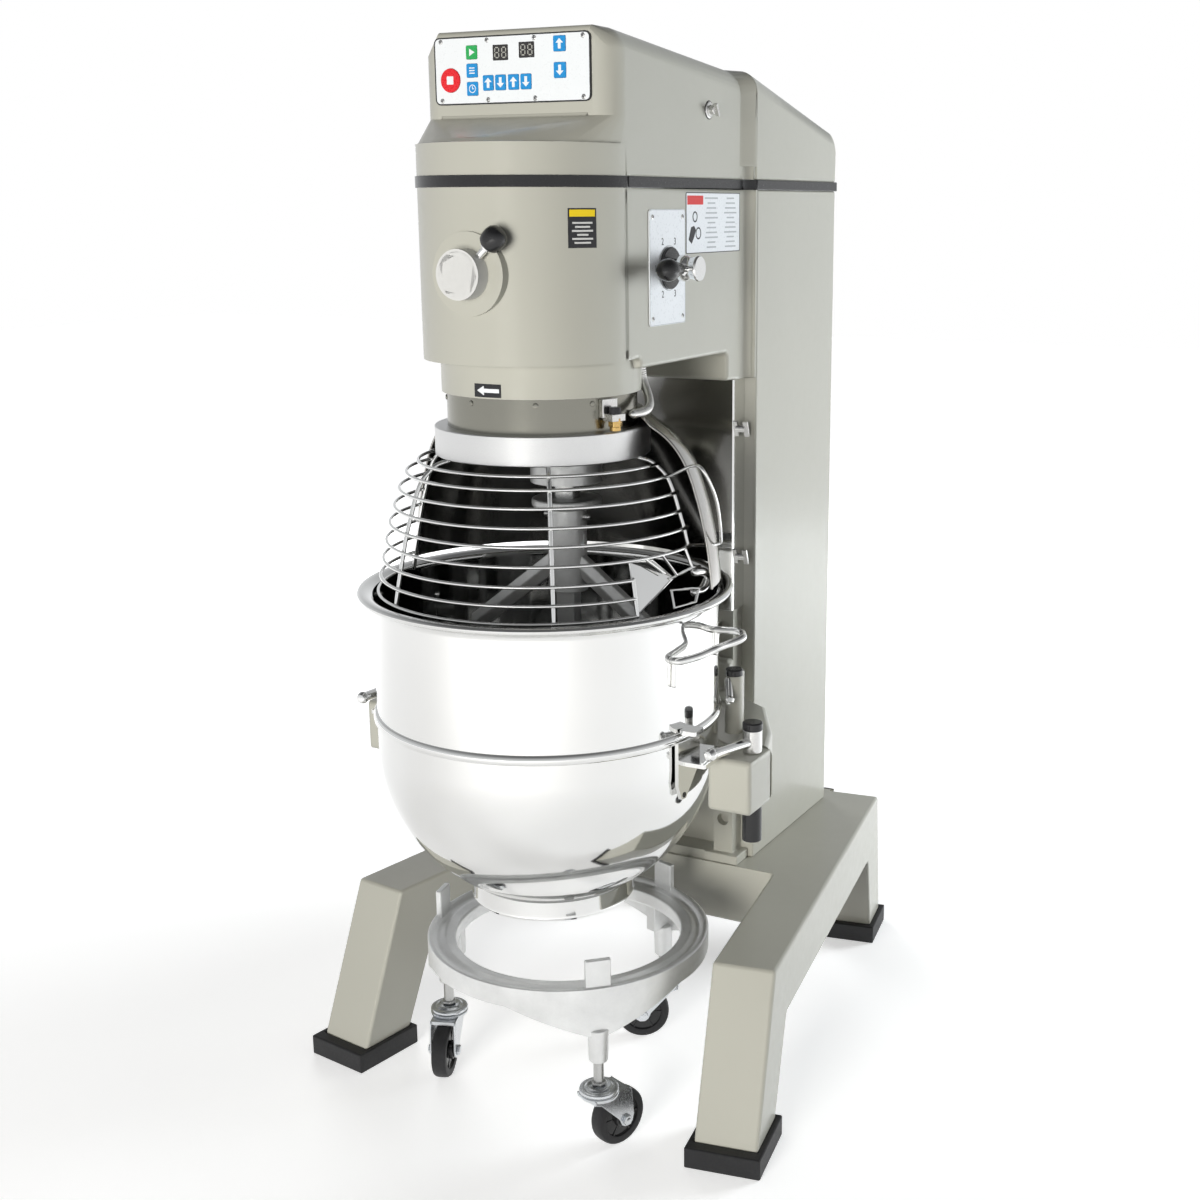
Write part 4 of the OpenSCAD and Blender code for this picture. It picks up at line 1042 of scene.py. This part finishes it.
def make_truck():
    ring = Build().use(BRIGHT_CAST)
    ring.lathe(truck_section, TRUCK, 240, closed=True)
    for _, azimuth, _ in CASTORS:
        arm = TRUCK @ Matrix.Rotation(math.radians(azimuth), 4, "Z")
        lug = [(207, -19), (216, -19), (216, 19), (207, 19)]
        ring.prism(lug, 251, 309.5, arm)
        ring.prism([(179, -10), (212, -10), (212, 10), (179, 10)], 197, 254, arm)
        stem = arm @ Matrix.Translation((208 * MM, 0, 0))
        ring.lathe([(0.01, 146), (12, 146), (14.4, 149), (15.4, 184), (18, 200), (0.01, 206)],
                   stem, 36)  # fmt: skip
        ring.use(MACHINED)
        ring.lathe([(0.01, 108), (8, 108), (8, 147), (0.01, 147)], stem, 28)
        ring.prism(circle(12, 6), 109, 114, stem)
        ring.use(BRIGHT_CAST)
    ring.done("truck_ring_cast", "truck", "cast_aluminium", ["truck_ring"], bevel=1.6, sharp=42)


def make_castor(label, azimuth, trail):
    swivel = (TRUCK @ Matrix.Rotation(math.radians(azimuth), 4, "Z")
              @ Matrix.Translation((208 * MM, 0, 0))
              @ Matrix.Rotation(math.radians(trail - azimuth), 4, "Z"))  # fmt: skip
    side = swivel @ Matrix.Rotation(math.pi / 2, 4, "X")
    fork = Build().use(ZINC)
    fork.lathe([(9, 104.5), (13, 106.8), (18, 107.4), (20, 106.2), (22, 104.4), (26, 104.8),
                (29, 103.6), (30, 101), (29.5, 98.6), (9, 98.6)], swivel, 48, closed=True)  # fmt: skip
    fork.lathe([(9, 98), (28, 98), (30, 96.6), (30, 94), (28.6, 91), (25, 89), (9, 89)],
               swivel, 48, closed=True)  # fmt: skip
    fork.use(BLACK_AND_HOLE_SHADE).lathe([(9, 97.6), (27, 97.6), (27, 99), (9, 99)], swivel, 40, closed=True)
    fork.use(ZINC)
    plate = [(-24, 95), (42, 95), (46, 90), (50, 48), (47, 37), (41, 33), (33, 33), (27, 37),
             (22, 48), (-12, 84), (-22, 88)]  # fmt: skip
    for y in (-21, 18):
        fork.prism(plate, y, y + 3, side)
    fork.prism([(-24, 88.5), (-24, 95), (42, 95), (42, 88.5)], -21, 21, side)
    axle = side @ Matrix.Translation((35 * MM, 44 * MM, 0))
    for sign in (-1, 1):
        fork.prism(circle(8.4, 6), min(sign * 21, sign * 26), max(sign * 21, sign * 26), axle)
    fork.lathe([(0.01, -27), (5, -26), (5, 26), (0.01, 27)], axle, 24)
    fork.done("castor_fork_" + label, "castor_" + label, "bright_steel", ["fork_" + label],
              bevel=0.8)  # fmt: skip
    wheel = Build().use(RUBBER)
    wheel.lathe([(31, -11), (38, -12), (41.5, -11.4), (43.4, -8.6), (44, -4), (44, 4),
                 (43.4, 8.6), (41.5, 11.4), (38, 12), (31, 11)], axle, 72, closed=True)  # fmt: skip
    wheel.use(BLACK_AND_HOLE_SHADE)
    wheel.lathe([(5.1, -16.8), (12, -16.8), (14, -15), (15, -9), (30, -8), (31.5, -10.8),
                 (31.5, 10.8), (30, 8), (15, 9), (14, 15), (12, 16.8), (5.1, 16.8)],
                axle, 60, closed=True)  # fmt: skip
    for i in range(6):
        spoke = axle @ Matrix.Rotation(math.radians(60 * i), 4, "Z")
        wheel.prism([(14, -1.6), (31, -1.6), (31, 1.6), (14, 1.6)], -9.6, 9.6, spoke)
    wheel.done("castor_wheel_" + label, "roller_" + label, "rubber", ["wheel_" + label], bevel=0.4)


make_console()
make_speed_plate()
make_screws()
make_hub_cap()
make_side_label()
make_curved_labels()
make_truck()
for castor in CASTORS:
    make_castor(*castor)

# ---------------------------------------------------------------- floor


def make_floor():
    mesh = bpy.data.meshes.new("floor")
    half = 14.0
    mesh.from_pydata(
        [(-half, -half, 0), (half, -half, 0), (half, half, 0), (-half, half, 0)], [], [(0, 1, 2, 3)]
    )
    floor = bpy.data.objects.new("floor", mesh)
    bpy.context.scene.collection.objects.link(floor)
    shade = Shade("pale_floor", (0.86, 0.86, 0.86), 0.6)
    shade.shader.inputs["Emission Color"].default_value = (1, 1, 1, 1)
    # evens out the fall of the light, so the floor stays pale as far as the horizon
    distance = shade.node("VectorMath", operation="LENGTH")
    shade.link(shade.place, distance.inputs[0])
    glow = shade.node("MapRange", From_Min=0.8, From_Max=5.0, To_Min=0.50, To_Max=0.92)
    shade.link(distance.outputs["Value"], glow.inputs["Value"])
    shade.link(glow.outputs["Result"], shade.shader.inputs["Emission Strength"])
    shade.colour_from(shade.noise(2.0), [(0.3, (0.85, 0.85, 0.85)), (0.7, (0.87, 0.87, 0.87))])
    mesh.materials.append(shade.material)
    # the floor is seen and reflected, but throws no light back up
    floor.visible_diffuse = False


make_floor()
